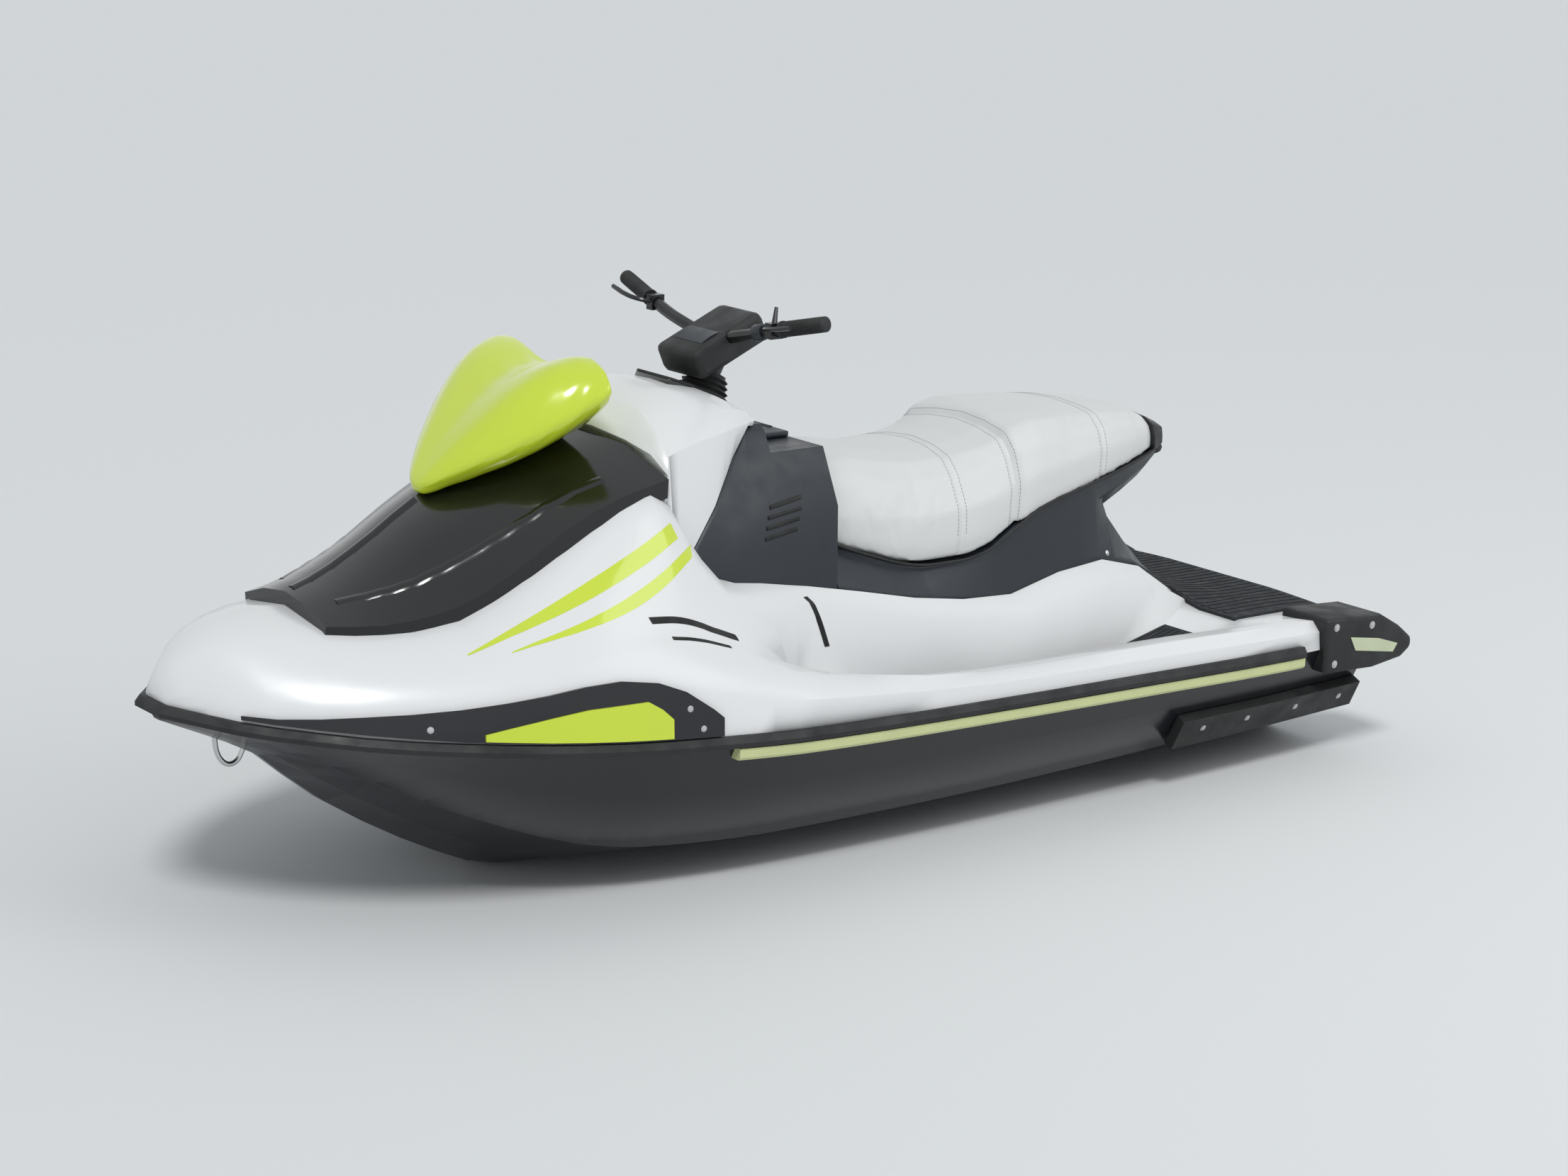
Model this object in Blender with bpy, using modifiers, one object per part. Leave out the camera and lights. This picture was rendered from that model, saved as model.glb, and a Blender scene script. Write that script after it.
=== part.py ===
"""Personal watercraft: a three-seat runabout with a jet pump.

Frame: +X bow, +Y port, +Z up, origin at the bottom centre of the craft, metres.
"""
import math

import bmesh
import bpy
import numpy as np
from mathutils import Matrix, Vector

# Driving dimensions
NOSE_X = 1.545
TRANSOM_X = -1.45
BUMPER_REACH = 0.115
BUMPER_SEAT = 0.002
GAP = 0.0003
CLEAR = 0.006
BEARING_GAP = 0.0004

# Jet pump and what turns with it
PUMP_Z = 0.150
PUMP_BORE = 0.0790
PUMP_WALL = 0.010
PUMP_FRONT_X = -0.98
PUMP_REAR_X = -1.290
OUTLET_BORE = 0.0400
OUTLET_WALL = 0.006
SHAFT_RADIUS = 0.013
NOZZLE_PIVOT_X = -1.300
NOZZLE_REAR_X = -1.405
NOZZLE_BALL = 0.068
NOZZLE_WALL = 0.006
BUCKET_PIVOT_X = -1.320
BUCKET_RADIUS = 0.135
BUCKET_HALF_WIDTH = 0.122
TUNNEL_HALF_WIDTH = 0.150
TUNNEL_FRONT_X = PUMP_FRONT_X + 0.030
TUNNEL_TOP_Z = 0.262
BUCKET_BAY_TOP_Z = 0.302
RIDE_PLATE_HALF_WIDTH = 0.165
RIDE_PLATE_THICKNESS = 0.012

# Engine space
ENGINE_SIZE = (0.46, 0.34, 0.30)
ENGINE_CENTRE = (0.02, 0.0, 0.235)
ENGINE_ROOM = 0.020

# Steering
COLUMN_TILT = math.radians(28.0)
STEER_PIVOT = (0.215, 0.0, 0.975)
COLUMN_RADIUS = 0.022
BAR_RADIUS = 0.0135
GRIP_RADIUS = 0.0180
PAD_CENTRE = (0.190, 0.0, 1.085)
PAD_SIZE = (0.200, 0.150, 0.070)
PAD_TILT = math.radians(23.8)

# Front bin, hood and glovebox
BIN_X = (0.76, 1.10)
BIN_HALF_WIDTH = 0.17
BIN_FLOOR_Z = 0.34
BIN_TOP_Z = 0.655
HOOD_HINGE = (1.275, 0.0, 0.640)
HOOD_REAR_X = 0.600
CHEVRON = 0.090
CHEVRON_HALF_WIDTH = 0.310
COWL_GAP = 0.006
GLOVE_X = (0.036, 0.165)
GLOVE_HALF_WIDTH = 0.085
GLOVE_DEPTH = 0.12
GLOVE_TOP_Z = 0.872

# Seat, its ledge on the deck, and the console ahead of it
SEAT_DECK_Z = 0.425
SEAT_FRONT_X = 0.030
SEAT_REAR_X = -1.087
BASE_REAR_X = -1.030
LEDGE_FRONT_X = 0.500
CONSOLE_TOP_Z = 0.930
CONSOLE_SLOPE_X = (0.230, 0.470)
CONSOLE_LOW_Z = 0.660

# Rub rail, side stripe and moulded skins
RAIL_REACH = 0.020
RAIL_BELOW = 0.006
RAIL_ABOVE = 0.020
RAIL_REAR_X = TRANSOM_X + 0.26
STRIPE_HEIGHT = 0.026
STRIPE_REACH = 0.015
STRIPE_FRONT_X = 0.50
SHOULDER_THICKNESS = 0.012
ACCENT_THICKNESS = 0.003

# Hull half sections: keel, flat pad, chine and bond line
HULL_COLUMNS = ("x", "keel_z", "pad_y", "chine_y", "chine_z", "rail_y", "rail_z", "core_z")
HULL_TABLE = (
    (-1.45, 0.006, 0.190, 0.422, 0.118, 0.503, 0.292, 0.286),
    (-1.10, 0.006, 0.190, 0.432, 0.112, 0.529, 0.300, 0.292),
    (-0.92, 0.003, 0.150, 0.432, 0.108, 0.536, 0.306, 0.270),
    (-0.70, 0.000, 0.110, 0.432, 0.104, 0.541, 0.313, 0.235),
    (-0.20, 0.000, 0.070, 0.427, 0.096, 0.545, 0.326, 0.232),
    (0.30, 0.000, 0.060, 0.404, 0.094, 0.540, 0.341, 0.240),
    (0.60, 0.000, 0.050, 0.367, 0.106, 0.517, 0.358, 0.340),
    (0.76, 0.004, 0.040, 0.332, 0.130, 0.492, 0.368, 0.360),
    (0.97, 0.085, 0.030, 0.284, 0.205, 0.448, 0.388, 0.381),
    (1.20, 0.225, 0.022, 0.200, 0.312, 0.362, 0.412, 0.406),
    (1.33, 0.335, 0.018, 0.138, 0.372, 0.282, 0.428, 0.423),
    (1.44, 0.392, 0.014, 0.082, 0.412, 0.188, 0.442, 0.438),
    (1.50, 0.420, 0.012, 0.046, 0.434, 0.108, 0.452, 0.448),
    (1.545, 0.441, 0.010, 0.022, 0.450, 0.046, 0.461, 0.458),
)

# Deck half sections above the bond line: points (y, z) from the side to the middle
DECK_COLUMNS = ("x", "side_y", "side_z", "crest_y", "crest_z", "inner_y", "inner_z",
                "well_y", "well_z", "foot_y", "foot_z", "bulge_y", "bulge_z", "top_y", "top_z",
                "mid_z")
DECK_TABLE = (
    (-1.45, 0.494, 0.330, 0.472, 0.350, 0.430, 0.346, 0.36, 0.340, 0.24, 0.346, 0.18, 0.348,
     0.12, 0.348, 0.348),
    (-1.18, 0.520, 0.344, 0.497, 0.368, 0.450, 0.362, 0.37, 0.355, 0.24, 0.356, 0.19, 0.356,
     0.14, 0.357, 0.358),
    (-1.06, 0.525, 0.349, 0.502, 0.374, 0.448, 0.366, 0.38, 0.352, 0.26, 0.352, 0.20, 0.392,
     0.15, 0.425, 0.430),
    (-0.92, 0.528, 0.354, 0.504, 0.379, 0.443, 0.372, 0.40, 0.325, 0.27, 0.325, 0.245, 0.450,
     0.19, 0.490, 0.500),
    (-0.75, 0.532, 0.361, 0.506, 0.385, 0.444, 0.378, 0.41, 0.300, 0.285, 0.300, 0.285, 0.475,
     0.22, 0.515, 0.525),
    (-0.50, 0.535, 0.368, 0.507, 0.390, 0.445, 0.382, 0.415, 0.290, 0.292, 0.290, 0.300, 0.440,
     0.240, 0.474, 0.485),
    (-0.20, 0.536, 0.378, 0.507, 0.398, 0.445, 0.390, 0.415, 0.288, 0.292, 0.290, 0.303, 0.470,
     0.265, 0.512, 0.520),
    (0.05, 0.535, 0.395, 0.503, 0.425, 0.445, 0.410, 0.405, 0.298, 0.294, 0.300, 0.305, 0.530,
     0.270, 0.570, 0.580),
    (0.13, 0.534, 0.403, 0.500, 0.440, 0.441, 0.425, 0.400, 0.304, 0.298, 0.306, 0.311, 0.555,
     0.275, 0.585, 0.595),
    (0.24, 0.532, 0.412, 0.497, 0.455, 0.437, 0.452, 0.385, 0.440, 0.345, 0.505, 0.330, 0.580,
     0.285, 0.607, 0.617),
    (0.40, 0.527, 0.430, 0.491, 0.488, 0.435, 0.515, 0.400, 0.555, 0.372, 0.605, 0.345, 0.635,
     0.305, 0.645, 0.655),
    (0.46, 0.525, 0.442, 0.490, 0.503, 0.434, 0.535, 0.392, 0.590, 0.362, 0.660, 0.340, 0.700,
     0.305, 0.715, 0.725),
    (0.55, 0.518, 0.456, 0.488, 0.522, 0.437, 0.560, 0.388, 0.635, 0.352, 0.735, 0.316, 0.810,
     0.285, 0.850, 0.890),
    (0.68, 0.500, 0.468, 0.482, 0.528, 0.440, 0.572, 0.396, 0.635, 0.358, 0.705, 0.322, 0.762,
     0.275, 0.800, 0.850),
    (0.90, 0.462, 0.474, 0.448, 0.518, 0.424, 0.548, 0.390, 0.582, 0.352, 0.622, 0.310, 0.655,
     0.258, 0.675, 0.715),
    (1.00, 0.434, 0.462, 0.420, 0.503, 0.400, 0.532, 0.367, 0.560, 0.331, 0.588, 0.290, 0.611,
     0.241, 0.628, 0.655),
    (1.10, 0.398, 0.462, 0.380, 0.498, 0.361, 0.526, 0.332, 0.551, 0.298, 0.575, 0.260, 0.596,
     0.213, 0.611, 0.634),
    (1.20, 0.348, 0.468, 0.331, 0.501, 0.312, 0.526, 0.288, 0.549, 0.260, 0.571, 0.223, 0.592,
     0.177, 0.609, 0.630),
    (1.33, 0.270, 0.474, 0.252, 0.504, 0.231, 0.530, 0.206, 0.554, 0.180, 0.577, 0.150, 0.600,
     0.112, 0.620, 0.642),
    (1.44, 0.180, 0.480, 0.165, 0.506, 0.148, 0.530, 0.129, 0.552, 0.109, 0.573, 0.089, 0.592,
     0.062, 0.608, 0.620),
    (1.50, 0.102, 0.484, 0.093, 0.505, 0.083, 0.523, 0.072, 0.539, 0.061, 0.554, 0.049, 0.568,
     0.034, 0.579, 0.586),
    (1.545, 0.043, 0.488, 0.038, 0.498, 0.033, 0.506, 0.028, 0.513, 0.022, 0.519, 0.017, 0.524,
     0.011, 0.528, 0.530),
)

# Seat half sections from front to tail
SEAT_COLUMNS = ("x", "low_y", "low_z", "wide_y", "wide_z", "edge_y", "edge_z", "top_z")
SEAT_TABLE = (
    (0.030, 0.165, 0.660, 0.172, 0.715, 0.115, 0.795, 0.806),
    (-0.010, 0.190, 0.640, 0.196, 0.705, 0.130, 0.815, 0.834),
    (-0.100, 0.212, 0.608, 0.218, 0.690, 0.140, 0.812, 0.834),
    (-0.250, 0.228, 0.568, 0.232, 0.680, 0.150, 0.788, 0.810),
    (-0.400, 0.232, 0.568, 0.238, 0.690, 0.158, 0.790, 0.812),
    (-0.500, 0.232, 0.610, 0.240, 0.715, 0.168, 0.812, 0.832),
    (-0.570, 0.230, 0.655, 0.238, 0.745, 0.176, 0.842, 0.860),
    (-0.820, 0.200, 0.702, 0.208, 0.775, 0.156, 0.840, 0.856),
    (-1.000, 0.154, 0.728, 0.162, 0.780, 0.126, 0.822, 0.838),
    (-1.087, 0.112, 0.744, 0.118, 0.766, 0.088, 0.790, 0.800),
)

COLOURS = {
    "pale_plastic": ((0.60, 0.66, 0.48), 0.35, 0.0),
    "white_gelcoat": ((0.83, 0.84, 0.84), 0.22, 0.0),
    "black_gelcoat": ((0.012, 0.012, 0.014), 0.25, 0.0),
    "pale_lime": ((0.62, 0.80, 0.12), 0.30, 0.0),
    "lime": ((0.42, 0.72, 0.05), 0.28, 0.0),
    "black_rubber": ((0.020, 0.020, 0.022), 0.75, 0.0),
    "grey_foam": ((0.06, 0.065, 0.07), 0.85, 0.0),
    "white_vinyl": ((0.72, 0.72, 0.71), 0.50, 0.0),
    "dark_plastic": ((0.018, 0.024, 0.032), 0.45, 0.0),
    "hood_paint": ((0.015, 0.020, 0.024), 0.15, 0.0),
    "aluminium": ((0.62, 0.63, 0.64), 0.38, 1.0),
    "stainless": ((0.60, 0.60, 0.60), 0.22, 1.0),
    "mirror": ((0.80, 0.82, 0.84), 0.05, 1.0),
    "glass": ((0.03, 0.035, 0.04), 0.08, 0.0),
    "engine_grey": ((0.10, 0.10, 0.11), 0.60, 0.3),
}

for stale in list(bpy.data.objects):
    bpy.data.objects.remove(stale, do_unlink=True)

PARTS = bpy.data.collections.new("personal_watercraft")
CUTTERS = bpy.data.collections.new("cutters")
bpy.context.scene.collection.children.link(PARTS)
bpy.context.scene.collection.children.link(CUTTERS)


# Materials and objects
def material(name):
    """Principled material of one of the finishes."""
    found = bpy.data.materials.get(name)
    if found:
        return found
    colour, roughness, metallic = COLOURS[name]
    made = bpy.data.materials.new(name)
    made.use_nodes = True
    shader = made.node_tree.nodes["Principled BSDF"]
    shader.inputs["Base Color"].default_value = (*colour, 1.0)
    shader.inputs["Roughness"].default_value = roughness
    shader.inputs["Metallic"].default_value = metallic
    return made


def add_object(name, mesh, finish=None, location=(0.0, 0.0, 0.0)):
    """Object of a mesh: a part when it has a finish, a cutter when it has none."""
    made = bpy.data.objects.new(name, mesh)
    made.location = location
    if finish is None:
        CUTTERS.objects.link(made)
        made.hide_render = True
        made.display_type = "WIRE"
        return made
    mesh.materials.append(material(finish))
    PARTS.objects.link(made)
    return made


def mesh_from(bm, name, smooth_angle=None):
    """Mesh of a bmesh with its faces pointing out."""
    bmesh.ops.recalc_face_normals(bm, faces=bm.faces)
    if bm.calc_volume(signed=True) < 0.0:
        bmesh.ops.reverse_faces(bm, faces=bm.faces)
    mesh = bpy.data.meshes.new(name)
    bm.to_mesh(mesh)
    bm.free()
    if smooth_angle is not None:
        mesh.shade_smooth()
        mesh.set_sharp_from_angle(angle=math.radians(smooth_angle))
    return mesh


def box(name, low, high, finish=None, bevel=0.0):
    """Box between two corners."""
    bm = bmesh.new()
    bmesh.ops.create_cube(bm, size=1.0)
    size = Vector(high) - Vector(low)
    centre = (Vector(high) + Vector(low)) / 2.0
    bmesh.ops.scale(bm, vec=size, verts=bm.verts)
    bmesh.ops.translate(bm, vec=centre, verts=bm.verts)
    made = add_object(name, mesh_from(bm, name), finish)
    if bevel > 0.0:
        round_edges(made, bevel)
    return made


def cylinder(name, radius, start, end, finish=None, radius_end=None, segments=24):
    """Cylinder or cone between two points."""
    start = Vector(start)
    end = Vector(end)
    axis = end - start
    bm = bmesh.new()
    bmesh.ops.create_cone(bm, cap_ends=True, segments=segments, radius1=radius,
                          radius2=radius if radius_end is None else radius_end,
                          depth=axis.length)
    turn = Vector((0.0, 0.0, 1.0)).rotation_difference(axis).to_matrix().to_4x4()
    bmesh.ops.transform(bm, matrix=Matrix.Translation((start + end) / 2.0) @ turn, verts=bm.verts)
    return add_object(name, mesh_from(bm, name, 35.0), finish)


def turned_x(name, profile, centre_z, finish=None, steps=32):
    """Closed profile of (x, radius) points turned about an axis along X at y = 0."""
    bm = bmesh.new()
    verts = [bm.verts.new((radius, 0.0, x)) for x, radius in profile]
    for index, vert in enumerate(verts):
        bm.edges.new((vert, verts[(index + 1) % len(verts)]))
    mesh = bpy.data.meshes.new(name)
    bm.to_mesh(mesh)
    bm.free()
    made = add_object(name, mesh, finish, (0.0, 0.0, centre_z))
    made.rotation_euler = (0.0, math.pi / 2.0, 0.0)
    screw = made.modifiers.new("turn", "SCREW")
    screw.axis = "Z"
    screw.angle = 2.0 * math.pi
    screw.steps = steps
    screw.render_steps = steps
    screw.use_merge_vertices = True
    screw.merge_threshold = 0.00005
    screw.use_normal_calculate = True
    return made


def round_edges(made, width, segments=2, angle=40.0):
    """Bevel the sharp edges of an object."""
    bevel = made.modifiers.new("round", "BEVEL")
    bevel.width = width
    bevel.segments = segments
    bevel.limit_method = "ANGLE"
    bevel.angle_limit = math.radians(angle)
    return bevel


def boolean(target, tool, operation="DIFFERENCE", solver="EXACT"):
    """Boolean modifier, with the exact solver where it holds."""
    step = target.modifiers.new(operation.lower(), "BOOLEAN")
    step.operation = operation
    step.solver = solver
    step.object = tool
    return step


def cut(target, *tools):
    """Cut several tools out of a target."""
    for tool in tools:
        boolean(target, tool)


def weld(target, *tools):
    """Join several tools to a target as one body."""
    for tool in tools:
        boolean(target, tool, "UNION")


# Lofts between unlike sections
def hermite(table, columns, x):
    """Row of a table at x, by smooth interpolation between its rows."""
    rows = sorted(table)
    xs = [row[0] for row in rows]
    values = np.array([row[1:] for row in rows], dtype=float)
    slopes = np.zeros_like(values)
    for index in range(len(rows)):
        before = max(index - 1, 0)
        after = min(index + 1, len(rows) - 1)
        slopes[index] = (values[after] - values[before]) / (xs[after] - xs[before])
        if 0 < index < len(rows) - 1:
            left = (values[index] - values[index - 1]) / (xs[index] - xs[index - 1])
            right = (values[index + 1] - values[index]) / (xs[index + 1] - xs[index])
            turning = left * right <= 0.0
            slopes[index][turning] = 0.0
            limit = 2.5 * np.minimum(np.abs(left), np.abs(right))
            slopes[index] = np.clip(slopes[index], -limit, limit)
    x = min(max(x, xs[0]), xs[-1])
    index = min(max(int(np.searchsorted(xs, x)) - 1, 0), len(rows) - 2)
    span = xs[index + 1] - xs[index]
    t = (x - xs[index]) / span
    h00 = 2 * t**3 - 3 * t**2 + 1
    h10 = t**3 - 2 * t**2 + t
    h01 = -2 * t**3 + 3 * t**2
    h11 = t**3 - t**2
    row = (h00 * values[index] + h10 * span * slopes[index]
           + h01 * values[index + 1] + h11 * span * slopes[index + 1])
    return dict(zip(columns[1:], (float(value) for value in row)))


def mirrored_ring(half):
    """Closed ring from a half section that starts and ends on the centre plane."""
    back = [(-y, z) for y, z in half[::-1] if abs(y) > 1e-6]
    return list(half) + back


def add_quad(bm, a, b, c, d):
    """Two triangles of a loft's quad, split the same way on neighbouring and mirrored lofts."""
    fore_is_cd = c.co.x + d.co.x > a.co.x + b.co.x
    low, high = (d, c) if fore_is_cd else (a, b)
    if (round(low.co.z, 6), abs(low.co.y)) > (round(high.co.z, 6), abs(high.co.y)):
        low = high
    if low in (a, c):
        bm.faces.new((a, b, c))
        bm.faces.new((a, c, d))
    else:
        bm.faces.new((a, b, d))
        bm.faces.new((b, c, d))


def loft(name, rings, finish=None, smooth_angle=30.0):
    """Closed solid through rings of equal point count; each ring is a list of 3D points."""
    bm = bmesh.new()
    rows = [[bm.verts.new(point) for point in ring] for ring in rings]
    count = len(rows[0])
    for first, second in zip(rows, rows[1:]):
        for index in range(count):
            after = (index + 1) % count
            add_quad(bm, first[index], first[after], second[after], second[index])
    bm.faces.new(rows[0][::-1])
    bm.faces.new(rows[-1])
    bmesh.ops.triangulate(bm, faces=[face for face in bm.faces if len(face.verts) > 4])
    return add_object(name, mesh_from(bm, name, smooth_angle), finish)


def section_rings(half_section, stations):
    """Rings of a symmetric section function at stations along X."""
    return [[(x, y, z) for y, z in mirrored_ring(half_section(x))] for x in stations]


def side_loft(name, section, stations, side, finish=None, smooth_angle=30.0):
    """Loft of a closed section of (y, z) points on one side of the craft."""
    rings = [[(x, side * y, z) for y, z in section(x)] for x in stations]
    return loft(name, rings, finish, smooth_angle)


def tube(name, points, radius, finish, resolution=3, segments=6, cyclic=False):
    """Round bar along a smooth path, as a closed mesh."""
    curve = bpy.data.curves.new(name, "CURVE")
    curve.dimensions = "3D"
    curve.bevel_depth = radius
    curve.bevel_resolution = resolution
    curve.resolution_u = segments
    curve.use_fill_caps = not cyclic
    spline = curve.splines.new("BEZIER")
    spline.bezier_points.add(len(points) - 1)
    spline.use_cyclic_u = cyclic
    for knot, point in zip(spline.bezier_points, points):
        knot.co = point
        knot.handle_left_type = "AUTO"
        knot.handle_right_type = "AUTO"
    draft = bpy.data.objects.new(name + "_path", curve)
    PARTS.objects.link(draft)
    bpy.context.view_layer.update()
    evaluated = draft.evaluated_get(bpy.context.evaluated_depsgraph_get())
    mesh = bpy.data.meshes.new_from_object(evaluated)
    bm = bmesh.new()
    bm.from_mesh(mesh)
    bmesh.ops.remove_doubles(bm, verts=bm.verts, dist=0.00005)
    bm.to_mesh(mesh)
    bm.free()
    mesh.materials.clear()
    made = add_object(name, mesh, finish)
    made.matrix_world = draft.matrix_world
    bpy.data.objects.remove(draft)
    bpy.data.curves.remove(curve)
    mesh.shade_smooth()
    mesh.set_sharp_from_angle(angle=math.radians(35.0))
    return made


def stations_between(start, end, count):
    """Evenly spaced stations."""
    return [start + (end - start) * index / (count - 1) for index in range(count)]


# Hull and deck
def hull_row(x):
    """Hull dimensions at a station."""
    return hermite(HULL_TABLE, HULL_COLUMNS, x)


def deck_row(x):
    """Deck dimensions at a station."""
    return hermite(DECK_TABLE, DECK_COLUMNS, x)


def hull_half(x):
    """Half section of the hull from keel to bond line."""
    row = hull_row(x)
    strake_y = row["pad_y"] + 0.5 * (row["chine_y"] - row["pad_y"])
    strake_z = row["keel_z"] + 0.46 * (row["chine_z"] - row["keel_z"])
    step = 0.012 * min(1.0, row["chine_y"] / 0.3)
    lip_y = row["chine_y"] + 0.10 * (row["rail_y"] - row["chine_y"])
    return [
        (0.0, row["keel_z"]),
        (row["pad_y"], row["keel_z"]),
        (strake_y, strake_z),
        (strake_y + step, strake_z + 0.1 * step),
        (row["chine_y"], row["chine_z"]),
        (lip_y, row["chine_z"] + 0.25 * step),
        (row["chine_y"] + 0.62 * (row["rail_y"] - row["chine_y"]),
         row["chine_z"] + 0.55 * (row["rail_z"] - row["chine_z"])),
        (row["rail_y"], row["rail_z"]),
        (0.88 * row["rail_y"], row["rail_z"]),
        (0.80 * row["rail_y"], row["core_z"]),
        (0.0, row["core_z"]),
    ]


def deck_half(x):
    """Half section of the deck above the bond line."""
    bond = hull_row(x)
    row = deck_row(x)
    return [
        (0.0, bond["core_z"] + GAP),
        (0.80 * bond["rail_y"] - GAP, bond["core_z"] + GAP),
        (0.88 * bond["rail_y"] - GAP, bond["rail_z"] + GAP),
        (bond["rail_y"], bond["rail_z"] + GAP),
        (row["side_y"], row["side_z"]),
        (row["crest_y"], row["crest_z"]),
        (row["inner_y"], row["inner_z"]),
        (row["well_y"], row["well_z"]),
        (row["foot_y"], row["foot_z"]),
        (row["bulge_y"], row["bulge_z"]),
        (row["top_y"], row["top_z"]),
        (0.0, row["mid_z"]),
    ]


HULL_LIP = 5
HULL_SIDE_MID = 6
DECK_RAIL = 3
DECK_WELL = 7
DECK_FOOT = 8
DECK_BULGE = 9
DECK_TOP = 10
DECK_MID = 11
HULL_STATIONS = (stations_between(TRANSOM_X, 0.12, 11)
                 + [0.18, 0.26, 0.34, 0.40, 0.46, 0.51, 0.56, 0.62, 0.68, 0.76, 0.84, 0.92, 1.00, 1.09, 1.18,
                    1.26, 1.33, 1.40, 1.45, 1.49, 1.52, NOSE_X])
FIT_STATIONS = [TRANSOM_X + BUMPER_SEAT - 2.0 * GAP] + HULL_STATIONS[1:]

hull = loft("hull", section_rings(hull_half, HULL_STATIONS), "black_gelcoat", 22.0)
deck = loft("deck", section_rings(deck_half, HULL_STATIONS), "white_gelcoat", 28.0)

tunnel = box("tunnel_cutter", (TRANSOM_X - 0.05, -TUNNEL_HALF_WIDTH, -0.05),
             (TUNNEL_FRONT_X, TUNNEL_HALF_WIDTH, TUNNEL_TOP_Z))
plate_recess = box("plate_recess_cutter",
                   (TRANSOM_X - 0.05, -RIDE_PLATE_HALF_WIDTH - GAP, -0.05),
                   (TUNNEL_FRONT_X, RIDE_PLATE_HALF_WIDTH + GAP, RIDE_PLATE_THICKNESS + GAP))
bucket_bay = box("bucket_bay_cutter", (TRANSOM_X - 0.05, -TUNNEL_HALF_WIDTH, 0.10),
                 (BUCKET_PIVOT_X + 0.075, TUNNEL_HALF_WIDTH, BUCKET_BAY_TOP_Z))
engine_bay = box("engine_bay_cutter",
                 (ENGINE_CENTRE[0] - ENGINE_SIZE[0] / 2 - ENGINE_ROOM,
                  -ENGINE_SIZE[1] / 2 - ENGINE_ROOM,
                  ENGINE_CENTRE[2] - ENGINE_SIZE[2] / 2 - GAP),
                 (ENGINE_CENTRE[0] + ENGINE_SIZE[0] / 2 + ENGINE_ROOM,
                  ENGINE_SIZE[1] / 2 + ENGINE_ROOM,
                  ENGINE_CENTRE[2] + ENGINE_SIZE[2] / 2 + ENGINE_ROOM))


def duct_ring(x, centre_z, half_width, half_height, power, count=20):
    """Rounded ring of the intake duct in a plane of constant x."""
    ring = []
    for index in range(count):
        angle = 2.0 * math.pi * index / count
        c = math.cos(angle)
        s = math.sin(angle)
        y = half_width * math.copysign(abs(c) ** power, c)
        z = centre_z + half_height * math.copysign(abs(s) ** power, s)
        ring.append((x, y, z))
    return ring


INTAKE_FRONT_X = -0.56
duct = loft("intake_duct_cutter", [
    duct_ring(TUNNEL_FRONT_X - 0.01, PUMP_Z, PUMP_BORE, PUMP_BORE, 1.0),
    duct_ring(TUNNEL_FRONT_X + 0.05, PUMP_Z - 0.012, PUMP_BORE, 0.088, 0.9),
    duct_ring(TUNNEL_FRONT_X + 0.16, PUMP_Z - 0.062, 0.078, 0.110, 0.7),
    duct_ring(TUNNEL_FRONT_X + 0.27, PUMP_Z - 0.115, 0.074, 0.105, 0.6),
    duct_ring(INTAKE_FRONT_X, -0.060, 0.070, 0.062, 0.5),
])
shaft_bore = cylinder("shaft_bore_cutter", SHAFT_RADIUS + BEARING_GAP,
                      (-0.90, 0.0, PUMP_Z), (ENGINE_CENTRE[0] - ENGINE_SIZE[0] / 2, 0.0, PUMP_Z))
cut(hull, tunnel, plate_recess, bucket_bay, engine_bay, duct, shaft_bore)

ABOVE_ALL = 1.2
bin_cutter = box("bin_cutter", (BIN_X[0], -BIN_HALF_WIDTH, BIN_FLOOR_Z),
                 (BIN_X[1], BIN_HALF_WIDTH, ABOVE_ALL))
LEDGE_LIP = 0.002
SEAT_STATIONS = stations_between(SEAT_FRONT_X, SEAT_REAR_X, 17)
SLOPE_STATIONS = [CONSOLE_SLOPE_X[0], 0.28, 0.32, 0.36, 0.40, 0.44, CONSOLE_SLOPE_X[1]]
LEDGE_STATIONS = ([BASE_REAR_X - 2.0 * GAP]
                  + [x for x in HULL_STATIONS if BASE_REAR_X + 0.01 < x < LEDGE_FRONT_X - 0.01]
                  + [LEDGE_FRONT_X])


def ledge_half_width(x):
    """Half width of the flat ledge on the deck that carries the seat base and the console."""
    edge = [deck_row(station)["top_y"] for station in HULL_STATIONS]
    return float(np.interp(x, HULL_STATIONS, edge)) - LEDGE_LIP


def ledge_rings(shrink, front_x):
    """Rings of the space above the ledge."""
    rings = []
    for x in LEDGE_STATIONS[:-1] + [front_x]:
        width = ledge_half_width(x) - shrink
        rings.append([(x, -width, SEAT_DECK_Z), (x, width, SEAT_DECK_Z), (x, width, ABOVE_ALL),
                      (x, -width, ABOVE_ALL)])
    return rings


seat_ledge = loft("seat_ledge_cutter", ledge_rings(0.0, LEDGE_FRONT_X))
cut(hull, bin_cutter)
cut(deck, bucket_bay, engine_bay, bin_cutter, seat_ledge)

engine = box("engine",
             tuple(c - s / 2 for c, s in zip(ENGINE_CENTRE, ENGINE_SIZE)),
             tuple(c + s / 2 for c, s in zip(ENGINE_CENTRE, ENGINE_SIZE)),
             "engine_grey", 0.02)


# Rub rail, stripe and the moulded pieces on the sides
def bond_side(low_x, high_x):
    """Bond line in plan on the port side, from stern to bow."""
    stations = [low_x] + [x for x in HULL_STATIONS if low_x + 0.005 < x < high_x - 0.005] + [high_x]
    return [Vector((x, hull_row(x)["rail_y"], hull_row(x)["rail_z"])) for x in stations]


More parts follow.
